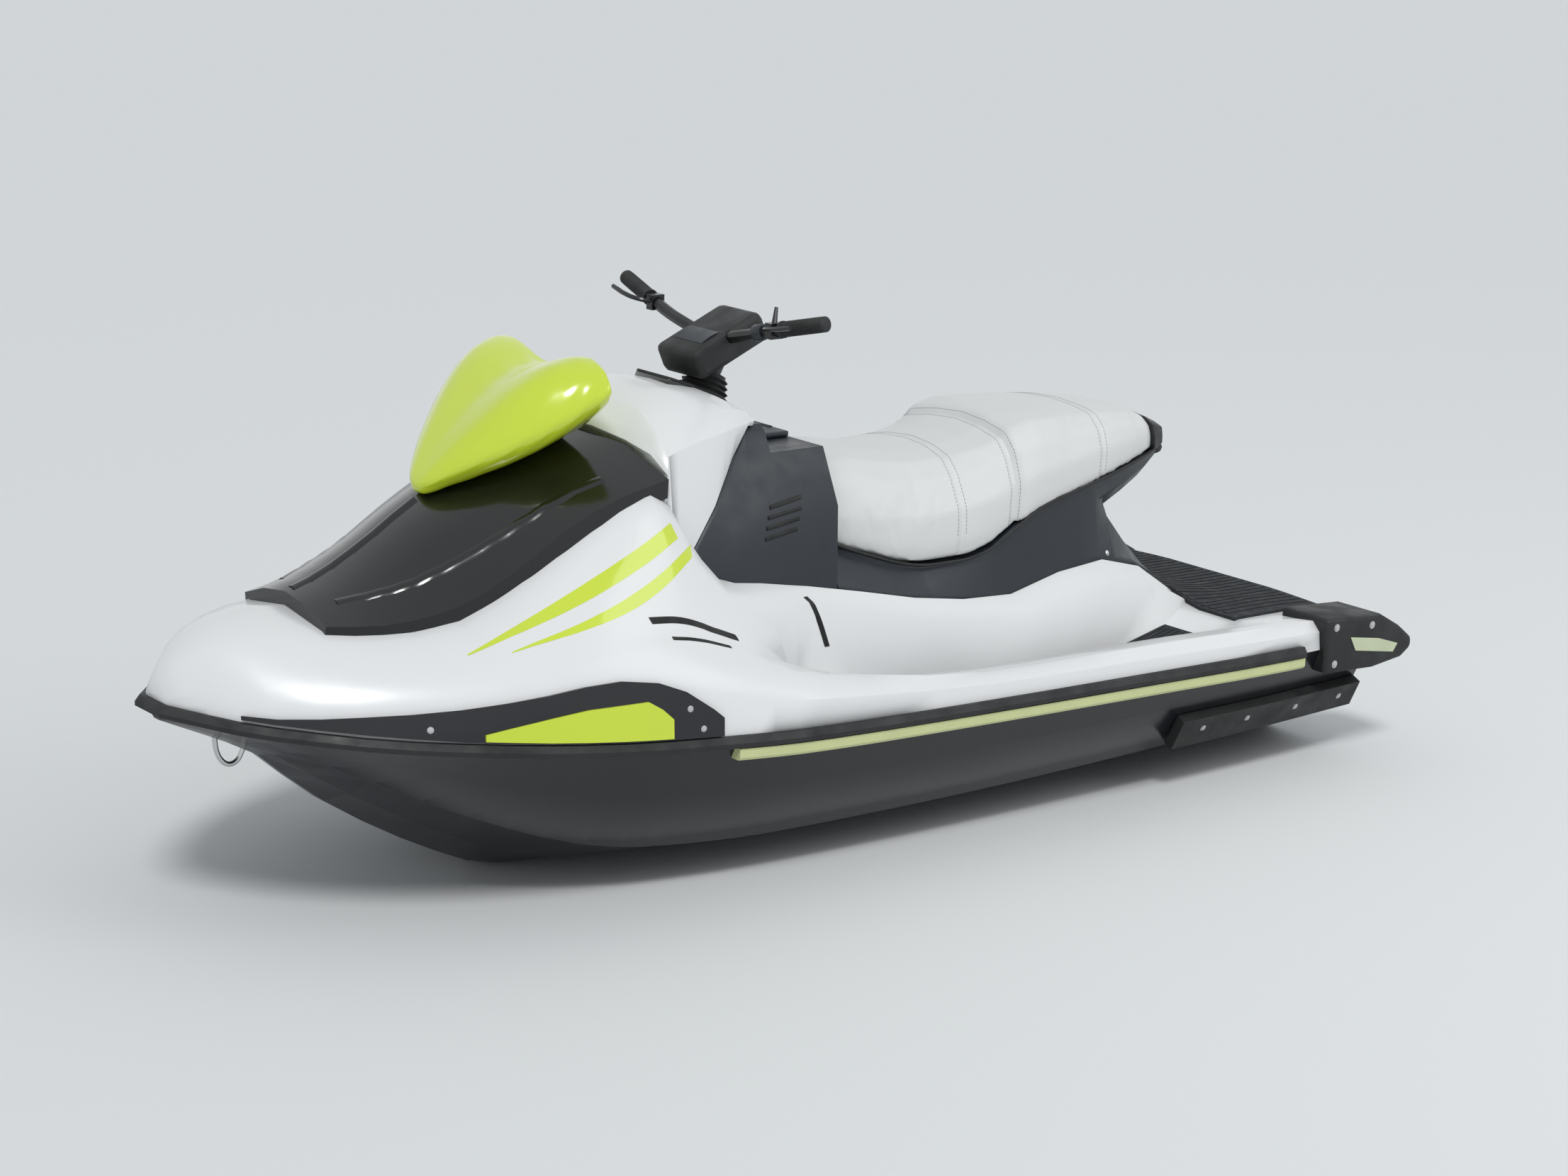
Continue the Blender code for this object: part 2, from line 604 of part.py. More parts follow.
def offset_path(path, offset):
    """Path moved outwards in plan by a mitred offset."""
    moved = []
    for index, point in enumerate(path):
        before = path[max(index - 1, 0)]
        after = path[min(index + 1, len(path) - 1)]
        normals = []
        for start, end in ((before, point), (point, after)):
            run = Vector((end.x - start.x, end.y - start.y, 0.0))
            if run.length > 1e-9:
                run.normalize()
                normals.append(Vector((-run.y, run.x, 0.0)))
        normal = sum(normals, Vector((0.0, 0.0, 0.0))).normalized()
        if index in (0, len(path) - 1):
            normal = Vector((0.0, math.copysign(1.0, point.y), 0.0))
        scale = offset / max(normal.dot(normals[0]), 0.5)
        moved.append(point + normal * scale)
    return moved


def moulding_rings(path, profile):
    """Rings of a moulding along a path; its profile is a list of (offset, height)."""
    lines = [(offset_path(path, offset), height) for offset, height in profile]
    return [[line[index] + Vector((0.0, 0.0, height)) for line, height in lines]
            for index in range(len(path))]


port_side = bond_side(RAIL_REAR_X, NOSE_X)
whole_rail = port_side + [Vector((point.x, -point.y, point.z)) for point in port_side[::-1]]
rub_rail = loft("rub_rail", moulding_rings(whole_rail, (
    (2.0 * GAP, -RAIL_BELOW), (0.55 * RAIL_REACH, -RAIL_BELOW), (RAIL_REACH, -0.35 * RAIL_BELOW),
    (RAIL_REACH, 0.35 * RAIL_ABOVE), (0.55 * RAIL_REACH, RAIL_ABOVE),
    (2.0 * GAP, RAIL_ABOVE))), "black_rubber", 40.0)


def offset_chain(points, offset):
    """Open chain of (y, z) points moved to its outer side."""
    moved = []
    for index, (y, z) in enumerate(points):
        normals = []
        for start, end in ((index - 1, index), (index, index + 1)):
            if start >= 0 and end < len(points):
                dy = points[end][0] - points[start][0]
                dz = points[end][1] - points[start][1]
                length = math.hypot(dy, dz)
                normals.append((dz / length, -dy / length))
        ny = sum(n[0] for n in normals)
        nz = sum(n[1] for n in normals)
        size = math.hypot(ny, nz)
        ny /= size
        nz /= size
        scale = offset / max(ny * normals[0][0] + nz * normals[0][1], 0.5)
        moved.append((y + ny * scale, z + nz * scale))
    return moved


def skin_section(chain, thickness, sink=0.004):
    """Closed section of a piece sunk a little into an open chain of the craft's outside."""
    return offset_chain(chain, -sink) + offset_chain(chain, thickness)[::-1]


def grown_half(half):
    """Half section grown by the gap that a fitted neighbour keeps."""
    grown = offset_chain(half, 1.8 * GAP)
    return [(0.0, grown[0][1])] + grown[1:-1] + [(0.0, grown[-1][1])]


deck_fit = loft("deck_fit_cutter", section_rings(lambda x: grown_half(deck_half(x)), FIT_STATIONS))
hull_fit = loft("hull_fit_cutter", section_rings(lambda x: grown_half(hull_half(x)), FIT_STATIONS))


def along(start, end, share):
    """Point between two (y, z) points."""
    return (start[0] + share * (end[0] - start[0]), start[1] + share * (end[1] - start[1]))


SHOULDER_TOP = ((0.49, 0.372), (0.53, 0.412), (0.585, 0.458), (0.64, 0.490), (0.70, 0.508),
                (0.78, 0.516), (0.87, 0.508), (0.95, 0.497), (1.07, 0.484), (1.20, 0.477),
                (1.33, 0.473), (1.44, 0.470))
ACCENT_TOP = ((0.655, 0.428), (0.70, 0.470), (0.85, 0.468), (0.95, 0.455), (1.05, 0.436))
SHOULDER_FOOT = 0.003


def on_deck_side(x, z):
    """Point of the deck's outer side at a height, between the bond line and the footwell."""
    chain = deck_half(x)[DECK_RAIL:DECK_WELL + 1]
    for low, high in zip(chain, chain[1:]):
        if z <= high[1] or high == chain[-1]:
            return along(low, high, (z - low[1]) / (high[1] - low[1]))
    return chain[-1]


def band_chain(x, table, foot):
    """Three points up the deck's side, from above the rub rail to a tabled height."""
    low = hull_row(x)["rail_z"] + RAIL_ABOVE + foot
    high = max(float(np.interp(x, [row[0] for row in table], [row[1] for row in table])),
               low + 0.008)
    return [on_deck_side(x, low), on_deck_side(x, 0.5 * (low + high)), on_deck_side(x, high)]


def shoulder_section(x):
    """Bow shoulder over the deck's side, from the rub rail to its arched top edge."""
    return skin_section(band_chain(x, SHOULDER_TOP, SHOULDER_FOOT), SHOULDER_THICKNESS)


def accent_section(x):
    """Coloured accent on the shoulder's outer side."""
    chain = band_chain(x, ACCENT_TOP, 2.0 * SHOULDER_FOOT)
    outer = SHOULDER_THICKNESS + 2.0 * GAP + ACCENT_THICKNESS
    return skin_section(chain, outer, -0.5 * SHOULDER_THICKNESS)


def sponson_section(x):
    """Sponson on the hull's side just above the chine."""
    half = hull_half(x)
    return skin_section([along(half[HULL_LIP], half[HULL_SIDE_MID], 0.10),
                         along(half[HULL_LIP], half[HULL_SIDE_MID], 0.80)], 0.028)


SHOULDER_STATIONS = [0.535] + [x for x in HULL_STATIONS if 0.55 < x < 1.46]
ACCENT_STATIONS = [0.655, 0.68, 0.71, 0.76, 0.84, 0.92, 1.00, 1.05]
SPONSON_STATIONS = [TRANSOM_X + 2.0 * BUMPER_SEAT] + HULL_STATIONS[1:5]
stripe_path = bond_side(RAIL_REAR_X, STRIPE_FRONT_X)
stripe_top = -RAIL_BELOW - GAP
stripe_rings = moulding_rings(stripe_path, (
    (-0.030, stripe_top - STRIPE_HEIGHT), (0.6 * STRIPE_REACH, stripe_top - STRIPE_HEIGHT),
    (STRIPE_REACH, stripe_top - 0.75 * STRIPE_HEIGHT), (STRIPE_REACH, stripe_top),
    (-0.030, stripe_top)))
for side, word in ((1, "left"), (-1, "right")):
    shoulder = side_loft("bow_shoulder_" + word, shoulder_section, SHOULDER_STATIONS, side,
                         "black_gelcoat")
    cut(shoulder, deck_fit)
    shoulder_fit = side_loft("shoulder_fit_cutter_" + word, lambda x: skin_section(
        band_chain(x, SHOULDER_TOP, SHOULDER_FOOT), SHOULDER_THICKNESS + 2.0 * GAP, 0.010),
        SHOULDER_STATIONS, side)
    accent = side_loft("accent_" + word, accent_section, ACCENT_STATIONS, side, "lime")
    boolean(accent, shoulder_fit, "DIFFERENCE", "MANIFOLD")
    sponson = side_loft("sponson_" + word, sponson_section, SPONSON_STATIONS, side, "black_rubber")
    cut(sponson, hull_fit)
    stripe = loft("side_stripe_" + word,
                  [[(p.x, side * p.y, p.z) for p in ring] for ring in stripe_rings], "pale_lime")
    cut(stripe, hull_fit)


def plate(name, outline, low_y, high_y, finish=None):
    """Flat plate from an outline of (x, z) points, between two heights along Y."""
    bm = bmesh.new()
    face = bm.faces.new([bm.verts.new((x, low_y, z)) for x, z in outline])
    grown = bmesh.ops.extrude_face_region(bm, geom=[face])
    moved = [item for item in grown["geom"] if isinstance(item, bmesh.types.BMVert)]
    bmesh.ops.translate(bm, vec=(0.0, high_y - low_y, 0.0), verts=moved)
    return add_object(name, mesh_from(bm, name, 35.0), finish)


# Bumper outline: (distance ahead of the transom, height)
BUMPER_OUTLINE = ((0.190, 0.376), (0.0, 0.364), (-0.070, 0.326), (-BUMPER_REACH, 0.292),
                  (-BUMPER_REACH, 0.266), (-0.080, 0.244), (0.020, 0.232), (0.190, 0.240))
INSET_OUTLINE = ((0.110, 0.322), (0.010, 0.306), (-0.060, 0.284), (-0.045, 0.264), (0.090, 0.286))
BUMPER_Y = (0.385, 0.5400)
BUMPER_SEAT_OUTER_Y = 0.60
BUMPER_SEAT_Z = (0.229, 0.450)
PLUG_RADIUS = 0.018
PLUG_DEPTH = 0.012
PLUG_Y = 0.30
PLUG_Z = 0.125
for side, word in ((1, "left"), (-1, "right")):
    low_y, high_y = sorted((side * BUMPER_Y[0], side * BUMPER_Y[1]))
    bumper = plate("stern_bumper_" + word, [(TRANSOM_X + x, z) for x, z in BUMPER_OUTLINE],
                   low_y, high_y, "black_rubber")
    round_edges(bumper, 0.010)
    cut(bumper, deck_fit, hull_fit)
    seat_low, seat_high = sorted((side * (BUMPER_Y[0] - 2.0 * GAP), side * BUMPER_SEAT_OUTER_Y))
    bumper_seat = box("bumper_seat_cutter_" + word, (TRANSOM_X - 0.01, seat_low, BUMPER_SEAT_Z[0]),
                      (TRANSOM_X + BUMPER_SEAT, seat_high, BUMPER_SEAT_Z[1]))
    cut(hull, bumper_seat)
    cut(deck, bumper_seat)
    low_y, high_y = sorted((side * (BUMPER_Y[1] + GAP), side * (BUMPER_Y[1] + 0.003)))
    plate("bumper_inset_" + word, [(TRANSOM_X + x, z) for x, z in INSET_OUTLINE],
          low_y, high_y, "pale_plastic")
    plug_bore = cylinder("plug_bore_cutter_" + word, PLUG_RADIUS + GAP,
                         (TRANSOM_X - 0.01, side * PLUG_Y, PLUG_Z),
                         (TRANSOM_X + PLUG_DEPTH, side * PLUG_Y, PLUG_Z), segments=16)
    cut(hull, plug_bore)
    cylinder("drain_plug_" + word, PLUG_RADIUS,
             (TRANSOM_X + PLUG_DEPTH - GAP, side * PLUG_Y, PLUG_Z),
             (TRANSOM_X + 0.001, side * PLUG_Y, PLUG_Z), "black_rubber", segments=16)


# Hood, mirror cowl and glasses
HOOD_COLUMNS = ("x", "edge_y", "edge_z", "crest_y", "crest_z", "crown_z")
HOOD_TABLE = (
    (0.600, 0.292, 0.868, 0.180, 0.926, 0.950),
    (0.690, 0.290, 0.836, 0.172, 0.892, 0.926),
    (0.840, 0.280, 0.740, 0.156, 0.828, 0.876),
    (0.970, 0.262, 0.666, 0.140, 0.764, 0.811),
    (1.050, 0.243, 0.640, 0.130, 0.718, 0.760),
    (1.170, 0.202, 0.624, 0.112, 0.668, 0.694),
    (1.255, 0.150, 0.626, 0.086, 0.652, 0.664),
)
HOOD_STATIONS = [HOOD_REAR_X, 0.62, 0.66, 0.72, 0.78, 0.84, 0.90, 0.95, 1.00, 1.05, 1.10, 1.15,
                 1.20, 1.255]
MIRROR_STATIONS = [0.62, 0.66, 0.72, 0.78, 0.84, 0.90, 0.95]


def deck_top_z(x, y):
    """Height of the deck's top at a half width between its well and its middle."""
    half = deck_half(x)
    for inner, outer in ((DECK_MID, DECK_TOP), (DECK_TOP, DECK_BULGE), (DECK_BULGE, DECK_FOOT)):
        if y <= half[outer][0] + 1e-9:
            share = (y - half[inner][0]) / (half[outer][0] - half[inner][0])
            return half[inner][1] + share * (half[outer][1] - half[inner][1])
    return half[DECK_FOOT][1]


def hood_half(x):
    """Half section of the hood, from its underside on the deck to its crown."""
    row = hermite(HOOD_TABLE, HOOD_COLUMNS, x)
    top_y, top_z = deck_half(x)[DECK_TOP]
    lift = 4.0 * GAP
    edge_y = max(row["edge_y"], top_y + 0.012)
    low_z = deck_top_z(x, edge_y) + lift
    return [
        (0.0, deck_top_z(x, 0.0) + lift),
        (top_y, top_z + lift),
        (edge_y, low_z),
        (edge_y + 0.002, max(row["edge_z"], low_z + 0.008)),
        (row["crest_y"], max(row["crest_z"], top_z + 0.018)),
        (0.0, row["crown_z"]),
    ]


def chevron_rings(half_section, stations, share):
    """Rings whose outer points trail aft, by a share of the chevron that depends on x."""
    rings = []
    for x in stations:
        rings.append([(x - CHEVRON * share(x) * abs(y) / CHEVRON_HALF_WIDTH, y, z)
                      for y, z in mirrored_ring(half_section(x))])
    return rings


hood = loft("hood", chevron_rings(hood_half, HOOD_STATIONS,
                                  lambda x: max(0.0, 1.0 - (x - HOOD_REAR_X) / 0.15)),
            "hood_paint", 22.0)
hood_hollow = box("hood_hollow_cutter", (BIN_X[0], -BIN_HALF_WIDTH, 0.5),
                  (BIN_X[1], BIN_HALF_WIDTH, BIN_TOP_Z))
cut(hood, deck_fit, hood_hollow)

MIRROR_COLUMNS = ("x", "foot_y", "low_y", "low_z", "side_y", "side_z", "lobe_y", "lobe_z",
                  "valley_z")
MIRROR_TABLE = (
    (0.620, 0.090, 0.210, 1.012, 0.248, 1.052, 0.160, 1.118, 1.066),
    (0.660, 0.090, 0.206, 0.990, 0.244, 1.038, 0.158, 1.118, 1.070),
    (0.720, 0.085, 0.188, 0.950, 0.226, 1.000, 0.146, 1.096, 1.060),
    (0.780, 0.075, 0.158, 0.918, 0.192, 0.962, 0.122, 1.052, 1.028),
    (0.840, 0.060, 0.120, 0.892, 0.148, 0.924, 0.088, 0.992, 0.980),
    (0.900, 0.035, 0.070, 0.866, 0.090, 0.888, 0.050, 0.924, 0.922),
    (0.950, 0.012, 0.020, 0.836, 0.028, 0.846, 0.016, 0.858, 0.858),
)


def mirror_half(x):
    """Half section of the mirror cowl: foot on the hood, overhanging side, lobe and valley."""
    row = hermite(MIRROR_TABLE, MIRROR_COLUMNS, x)
    half = hood_half(x)
    crown, crest = half[5], half[4]
    foot = along(crown, crest, row["foot_y"] / crest[0])
    lift = 3.0 * GAP
    low_z = max(row["low_z"], along(crown, crest, row["low_y"] / crest[0])[1] + 0.008)
    return [
        (0.0, crown[1] + lift),
        (foot[0], foot[1] + lift),
        (row["low_y"], low_z),
        (row["side_y"], row["side_z"]),
        (0.4 * row["lobe_y"] + 0.6 * row["side_y"] + 0.004,
         0.62 * row["lobe_z"] + 0.38 * row["side_z"]),
        (row["lobe_y"], row["lobe_z"]),
        (0.55 * row["lobe_y"], 0.72 * row["lobe_z"] + 0.28 * row["valley_z"]),
        (0.0, row["valley_z"]),
    ]


mirror_cowl = loft("mirror_cowl", section_rings(mirror_half, MIRROR_STATIONS), "lime", 50.0)
GLASS_CENTRE = (0.160, 1.060)
GLASS_HALF = (0.056, 0.026)
GLASS_THICKNESS = 0.003
for side, word in ((1, "left"), (-1, "right")):
    glass_x = MIRROR_STATIONS[0] - 2.0 * GAP
    ring = []
    for step in range(16):
        angle = 2.0 * math.pi * step / 16
        ring.append((glass_x, side * (GLASS_CENTRE[0] + GLASS_HALF[0] * math.cos(angle)),
                     GLASS_CENTRE[1] + GLASS_HALF[1] * math.sin(angle)))
    loft("mirror_glass_" + word, [[(x - GLASS_THICKNESS, y, z) for x, y, z in ring], ring],
         "mirror")


# Console, steering cowl, gauge and glovebox
CONSOLE_REAR_X = SEAT_FRONT_X + 0.001
CONSOLE_FRONT_X = LEDGE_FRONT_X - 5.0 * GAP
CONSOLE_SIDE = ((0.60, 0.300), (0.78, 0.252), (0.905, 0.186), (0.930, 0.172))


def console_top(x):
    """Height of the console's top: level, then sloping down ahead under the steering cowl."""
    slope = (CONSOLE_TOP_Z - CONSOLE_LOW_Z) / (CONSOLE_SLOPE_X[1] - CONSOLE_SLOPE_X[0])
    return CONSOLE_TOP_Z - slope * max(0.0, x - CONSOLE_SLOPE_X[0])


def console_side_y(x, z):
    """Half width of the console at a height."""
    widest = ledge_half_width(x) - 4.0 * GAP
    return min(widest - 0.008 * (z - SEAT_DECK_Z),
               float(np.interp(z, [row[0] for row in CONSOLE_SIDE],
                               [row[1] for row in CONSOLE_SIDE])))


def console_half(x):
    """Half section of the console."""
    top = console_top(x)
    low = min(deck_row(x)["top_z"] + 0.004, top - 0.03)
    levels = [low, low + 0.5 * (top - low), top - 0.012]
    return ([(0.0, SEAT_DECK_Z + GAP), (ledge_half_width(x) - 4.0 * GAP, SEAT_DECK_Z + GAP)]
            + [(console_side_y(x, z), z) for z in levels]
            + [(console_side_y(x, top) - 0.010, top), (0.0, top)])


console = loft("console", section_rings(console_half, [CONSOLE_REAR_X, 0.10, 0.165]
                                        + SLOPE_STATIONS + [CONSOLE_FRONT_X]), "dark_plastic")
glove_step = box("glove_step_cutter", (CONSOLE_REAR_X - 0.05, -0.3, GLOVE_TOP_Z),
                 (GLOVE_X[1] + 0.012, 0.3, ABOVE_ALL))
glove_pocket = box("glove_pocket_cutter",
                   (GLOVE_X[0] + 0.016, -GLOVE_HALF_WIDTH + 0.008, GLOVE_TOP_Z - GLOVE_DEPTH),
                   (GLOVE_X[1] - 0.008, GLOVE_HALF_WIDTH - 0.008, ABOVE_ALL))
COLUMN_AXIS = Vector((-math.sin(COLUMN_TILT), 0.0, math.cos(COLUMN_TILT)))
PIVOT = Vector(STEER_PIVOT)
column_bore = cylinder("column_bore_cutter", COLUMN_RADIUS + BEARING_GAP,
                       PIVOT - 0.120 * COLUMN_AXIS, PIVOT + 0.10 * COLUMN_AXIS)
cut(console, glove_step, glove_pocket, column_bore)
glovebox_lid = box("glovebox_lid", (GLOVE_X[0], -GLOVE_HALF_WIDTH, GLOVE_TOP_Z + GAP),
                   (GLOVE_X[1], GLOVE_HALF_WIDTH, GLOVE_TOP_Z + 0.014), "dark_plastic", 0.004)

COWL_COLUMNS = ("x", "side_y", "side_z", "shoulder_y", "shoulder_z", "top_z")
COWL_TABLE = (
    (0.205, 0.176, 0.940, 0.120, 0.954, 0.960),
    (0.250, 0.204, 0.942, 0.135, 0.984, 0.992),
    (0.320, 0.230, 0.938, 0.145, 1.004, 1.012),
    (0.400, 0.250, 0.930, 0.150, 1.014, 1.022),
    (0.470, 0.266, 0.918, 0.155, 1.002, 1.010),
    (0.530, 0.276, 0.900, 0.162, 0.974, 0.988),
    (0.600, 0.286, 0.872, 0.176, 0.930, 0.952),
)
COWL_FRONT_X = HOOD_REAR_X - COWL_GAP
COWL_LOW_STATIONS = [0.205] + SLOPE_STATIONS + [LEDGE_FRONT_X - 0.0010]
COWL_HIGH_STATIONS = [LEDGE_FRONT_X - GAP, 0.53, 0.56, COWL_FRONT_X]


def cowl_half(x):
    """Half section of the steering cowl, from the console or the deck to its dome."""
    row = hermite(COWL_TABLE, COWL_COLUMNS, x)
    if x in COWL_LOW_STATIONS:
        low_z = console_top(x) + GAP
        low = [(0.0, low_z), (console_side_y(x, low_z), low_z)]
    else:
        low_z = deck_row(x)["top_z"] - 0.030
        low = [(0.0, low_z), (ledge_half_width(x) - 4.0 * GAP, low_z)]
    return low + [
        (row["side_y"], row["side_z"]),
        (0.5 * (row["side_y"] + row["shoulder_y"]) + 0.010,
         0.5 * (row["side_z"] + row["shoulder_z"]) + 0.008),
        (row["shoulder_y"], row["shoulder_z"]),
        (0.5 * row["shoulder_y"], row["top_z"] - 0.003),
        (0.0, row["top_z"]),
    ]


deck_fit_open = loft("deck_fit_open_cutter",
                     section_rings(lambda x: grown_half(deck_half(x)), HULL_STATIONS))
ledge_fit = loft("ledge_fit_cutter", ledge_rings(1.8 * GAP, LEDGE_FRONT_X - GAP))
cut(deck_fit_open, ledge_fit)
steering_cowl = loft("steering_cowl", chevron_rings(
    cowl_half, COWL_LOW_STATIONS + COWL_HIGH_STATIONS,
    lambda x: max(0.0, (x - LEDGE_FRONT_X) / (COWL_FRONT_X - LEDGE_FRONT_X))),
    "white_gelcoat", 40.0)
GAUGE_CENTRE = Vector((0.318, 0.0, 1.008))
GAUGE_HALF = (0.036, 0.062, 0.008)
GAUGE_TURN = Matrix.Translation(GAUGE_CENTRE) @ Matrix.Rotation(math.radians(-20.0), 4, "Y")
gauge = box("gauge", tuple(-v for v in GAUGE_HALF), GAUGE_HALF, "glass", 0.003)
gauge.matrix_world = GAUGE_TURN
gauge_seat = box("gauge_seat_cutter", tuple(-v - 2.0 * GAP for v in GAUGE_HALF),
                 (GAUGE_HALF[0] + 2.0 * GAP, GAUGE_HALF[1] + 2.0 * GAP, 0.1))
gauge_seat.matrix_world = GAUGE_TURN
boolean(steering_cowl, deck_fit_open, "DIFFERENCE", "MANIFOLD")
cut(steering_cowl, column_bore, gauge_seat)


# Seat base, seat and grab handle
def seat_row(x):
    """Seat dimensions at a station."""
    return hermite(SEAT_TABLE, SEAT_COLUMNS, x)


def seat_half(x):
    """Half section of the seat cushion."""
    row = seat_row(x)
    wide, edge = (row["wide_y"], row["wide_z"]), (row["edge_y"], row["edge_z"])
    return [
        (0.0, row["low_z"] + GAP),
        (row["low_y"], row["low_z"] + GAP),
        (row["low_y"] + 0.006, row["low_z"] + 0.35 * (row["wide_z"] - row["low_z"])),
        wide,
        (along(wide, edge, 0.65)[0] + 0.016, along(wide, edge, 0.65)[1] + 0.004),
        (row["edge_y"], row["edge_z"] + 0.004),
        (0.5 * row["edge_y"], row["top_z"] - 0.003),
        (0.0, row["top_z"]),
    ]


BASE_INSET = 0.012
TAIL_INDEX = 12
BASE_TAIL = ((BASE_REAR_X, 0.458), (-0.96, 0.520), (-0.88, 0.600))
TRAY_BOTTOM = ((SEAT_REAR_X, 0.698), (-1.00, 0.665), (-0.90, 0.630), (-0.82, 0.606), (-0.74, 0.60))


def seat_base_half(x):
    """Half section of the black base: under the cushion, then falling away behind it."""
    row = seat_row(x)
    foot = ledge_half_width(x) - 4.0 * GAP
    if x >= SEAT_STATIONS[TAIL_INDEX] - 1e-6:
        top, top_y = row["low_z"], row["low_y"] - BASE_INSET
    else:
        top = float(np.interp(x, [point[0] for point in BASE_TAIL],
                              [point[1] for point in BASE_TAIL]))
        top_y = 0.82 * foot
    side_z = min(deck_row(x)["top_z"] + 0.006, top - 0.004)
    return [(0.0, SEAT_DECK_Z + GAP), (foot, SEAT_DECK_Z + GAP), (foot, side_z), (top_y, top),
            (0.0, top)]


def seat_tray_half(x):
    """Half section of the tray that carries the cushion's tail."""
    row = seat_row(x)
    low = float(np.interp(x, [point[0] for point in TRAY_BOTTOM],
                          [point[1] for point in TRAY_BOTTOM]))
    inside = x > SEAT_STATIONS[TAIL_INDEX] + 1e-6
    top = row["low_z"] - (0.020 if inside else 0.0)
    width = (0.8 if inside else 1.0) * (row["low_y"] - BASE_INSET)
    return [(0.0, low), (0.8 * width, low), (width, 0.5 * (low + top)), (width, top), (0.0, top)]


seat_base = loft("seat_base", section_rings(
    seat_base_half, SEAT_STATIONS[:TAIL_INDEX + 1] + [x for x, z in BASE_TAIL[::-1]]),
    "dark_plastic")
seat_tray = loft("seat_tray_cutter", section_rings(
    seat_tray_half, [SEAT_STATIONS[TAIL_INDEX] + 0.040] + SEAT_STATIONS[TAIL_INDEX:]))
weld(seat_base, seat_tray)
seat = loft("seat", section_rings(seat_half, SEAT_STATIONS), "white_vinyl", 50.0)
HANDLE_X = SEAT_REAR_X - 2.0 * GAP
HANDLE_Z = 0.720
HANDLE_HALF_WIDTH = 0.070
grab_handle = tube("grab_handle", [
    (HANDLE_X, HANDLE_HALF_WIDTH, HANDLE_Z), (HANDLE_X - 0.014, HANDLE_HALF_WIDTH, HANDLE_Z),
    (HANDLE_X - 0.050, 0.80 * HANDLE_HALF_WIDTH, HANDLE_Z + 0.003),
    (HANDLE_X - 0.061, 0.0, HANDLE_Z + 0.004),
    (HANDLE_X - 0.050, -0.80 * HANDLE_HALF_WIDTH, HANDLE_Z + 0.003),
    (HANDLE_X - 0.014, -HANDLE_HALF_WIDTH, HANDLE_Z),
    (HANDLE_X, -HANDLE_HALF_WIDTH, HANDLE_Z)], 0.011, "black_rubber", resolution=2, segments=4)


# Mats on the footwells and the rear platform
MAT = 0.007
MAT_SINK = 0.004


def foot_mat_section(x):
    """Footwell mat between the gunwale and the pedestal."""
    half = deck_half(x)
    outer, inner = half[DECK_WELL], half[DECK_FOOT]
    return skin_section([along(outer, inner, 0.06), along(outer, inner, 0.94)], MAT, -2.0 * GAP)


def rear_mat_half(x):
    """Half section of the mat on the rear platform."""
    half = deck_half(x)
    chain = [along(half[DECK_WELL], half[DECK_FOOT], 0.06), half[DECK_FOOT], half[DECK_BULGE],
             half[DECK_TOP], half[DECK_MID]]
    lower = [(y, z - MAT_SINK) for y, z in chain[::-1]]
    return lower + [(y, z + MAT) for y, z in chain]


FOOT_STATIONS = [x for x in HULL_STATIONS if BASE_REAR_X - 0.01 < x < 0.1]
for side, word in ((1, "left"), (-1, "right")):
    side_loft("foot_mat_" + word, foot_mat_section, FOOT_STATIONS, side, "grey_foam")
REAR_MAT_X = (TRANSOM_X + 0.015, -1.120)
rear_mat = loft("rear_mat", section_rings(rear_mat_half, [REAR_MAT_X[0]] + [
    x for x in HULL_STATIONS if REAR_MAT_X[0] < x < REAR_MAT_X[1] - 0.01] + [REAR_MAT_X[1]]),
    "grey_foam")
cut(rear_mat, deck_fit)


# Steering
GRIP_END = Vector((0.165, 0.365, 1.176))
GRIP_START = Vector((0.185, 0.240, 1.147))
bar_points = [GRIP_END, GRIP_START, GRIP_START + 0.18 * (GRIP_START - GRIP_END),
              Vector((0.194, 0.120, 1.117)), Vector((0.190, 0.0, 1.098))]
bar_path = bar_points + [Vector((p.x, -p.y, p.z)) for p in bar_points[-2::-1]]
inner_path = bar_path[1:-1]
handlebar = tube("handlebar", inner_path, BAR_RADIUS, "black_gelcoat", resolution=2, segments=5)
bar_cutter = tube("bar_cutter", inner_path, BAR_RADIUS + 3.0 * GAP, None, resolution=2, segments=5)
PAD_TURN = Matrix.Translation(PAD_CENTRE) @ Matrix.Rotation(PAD_TILT, 4, "Y")
pad = box("bar_pad", tuple(-v / 2.0 for v in PAD_SIZE), tuple(v / 2.0 for v in PAD_SIZE),
          "black_rubber", 0.016)
pad.matrix_world = PAD_TURN
pad_fit = box("pad_fit_cutter", tuple(-v / 2.0 - GAP for v in PAD_SIZE),
              tuple(v / 2.0 + GAP for v in PAD_SIZE))
pad_fit.matrix_world = PAD_TURN
cut(pad, bar_cutter)
column = cylinder("steering_column", COLUMN_RADIUS, PIVOT - 0.110 * COLUMN_AXIS,
                  PIVOT + 0.100 * COLUMN_AXIS, "dark_plastic")
cut(column, pad_fit)
CLAMP_HALF = (0.017, 0.011, 0.017)
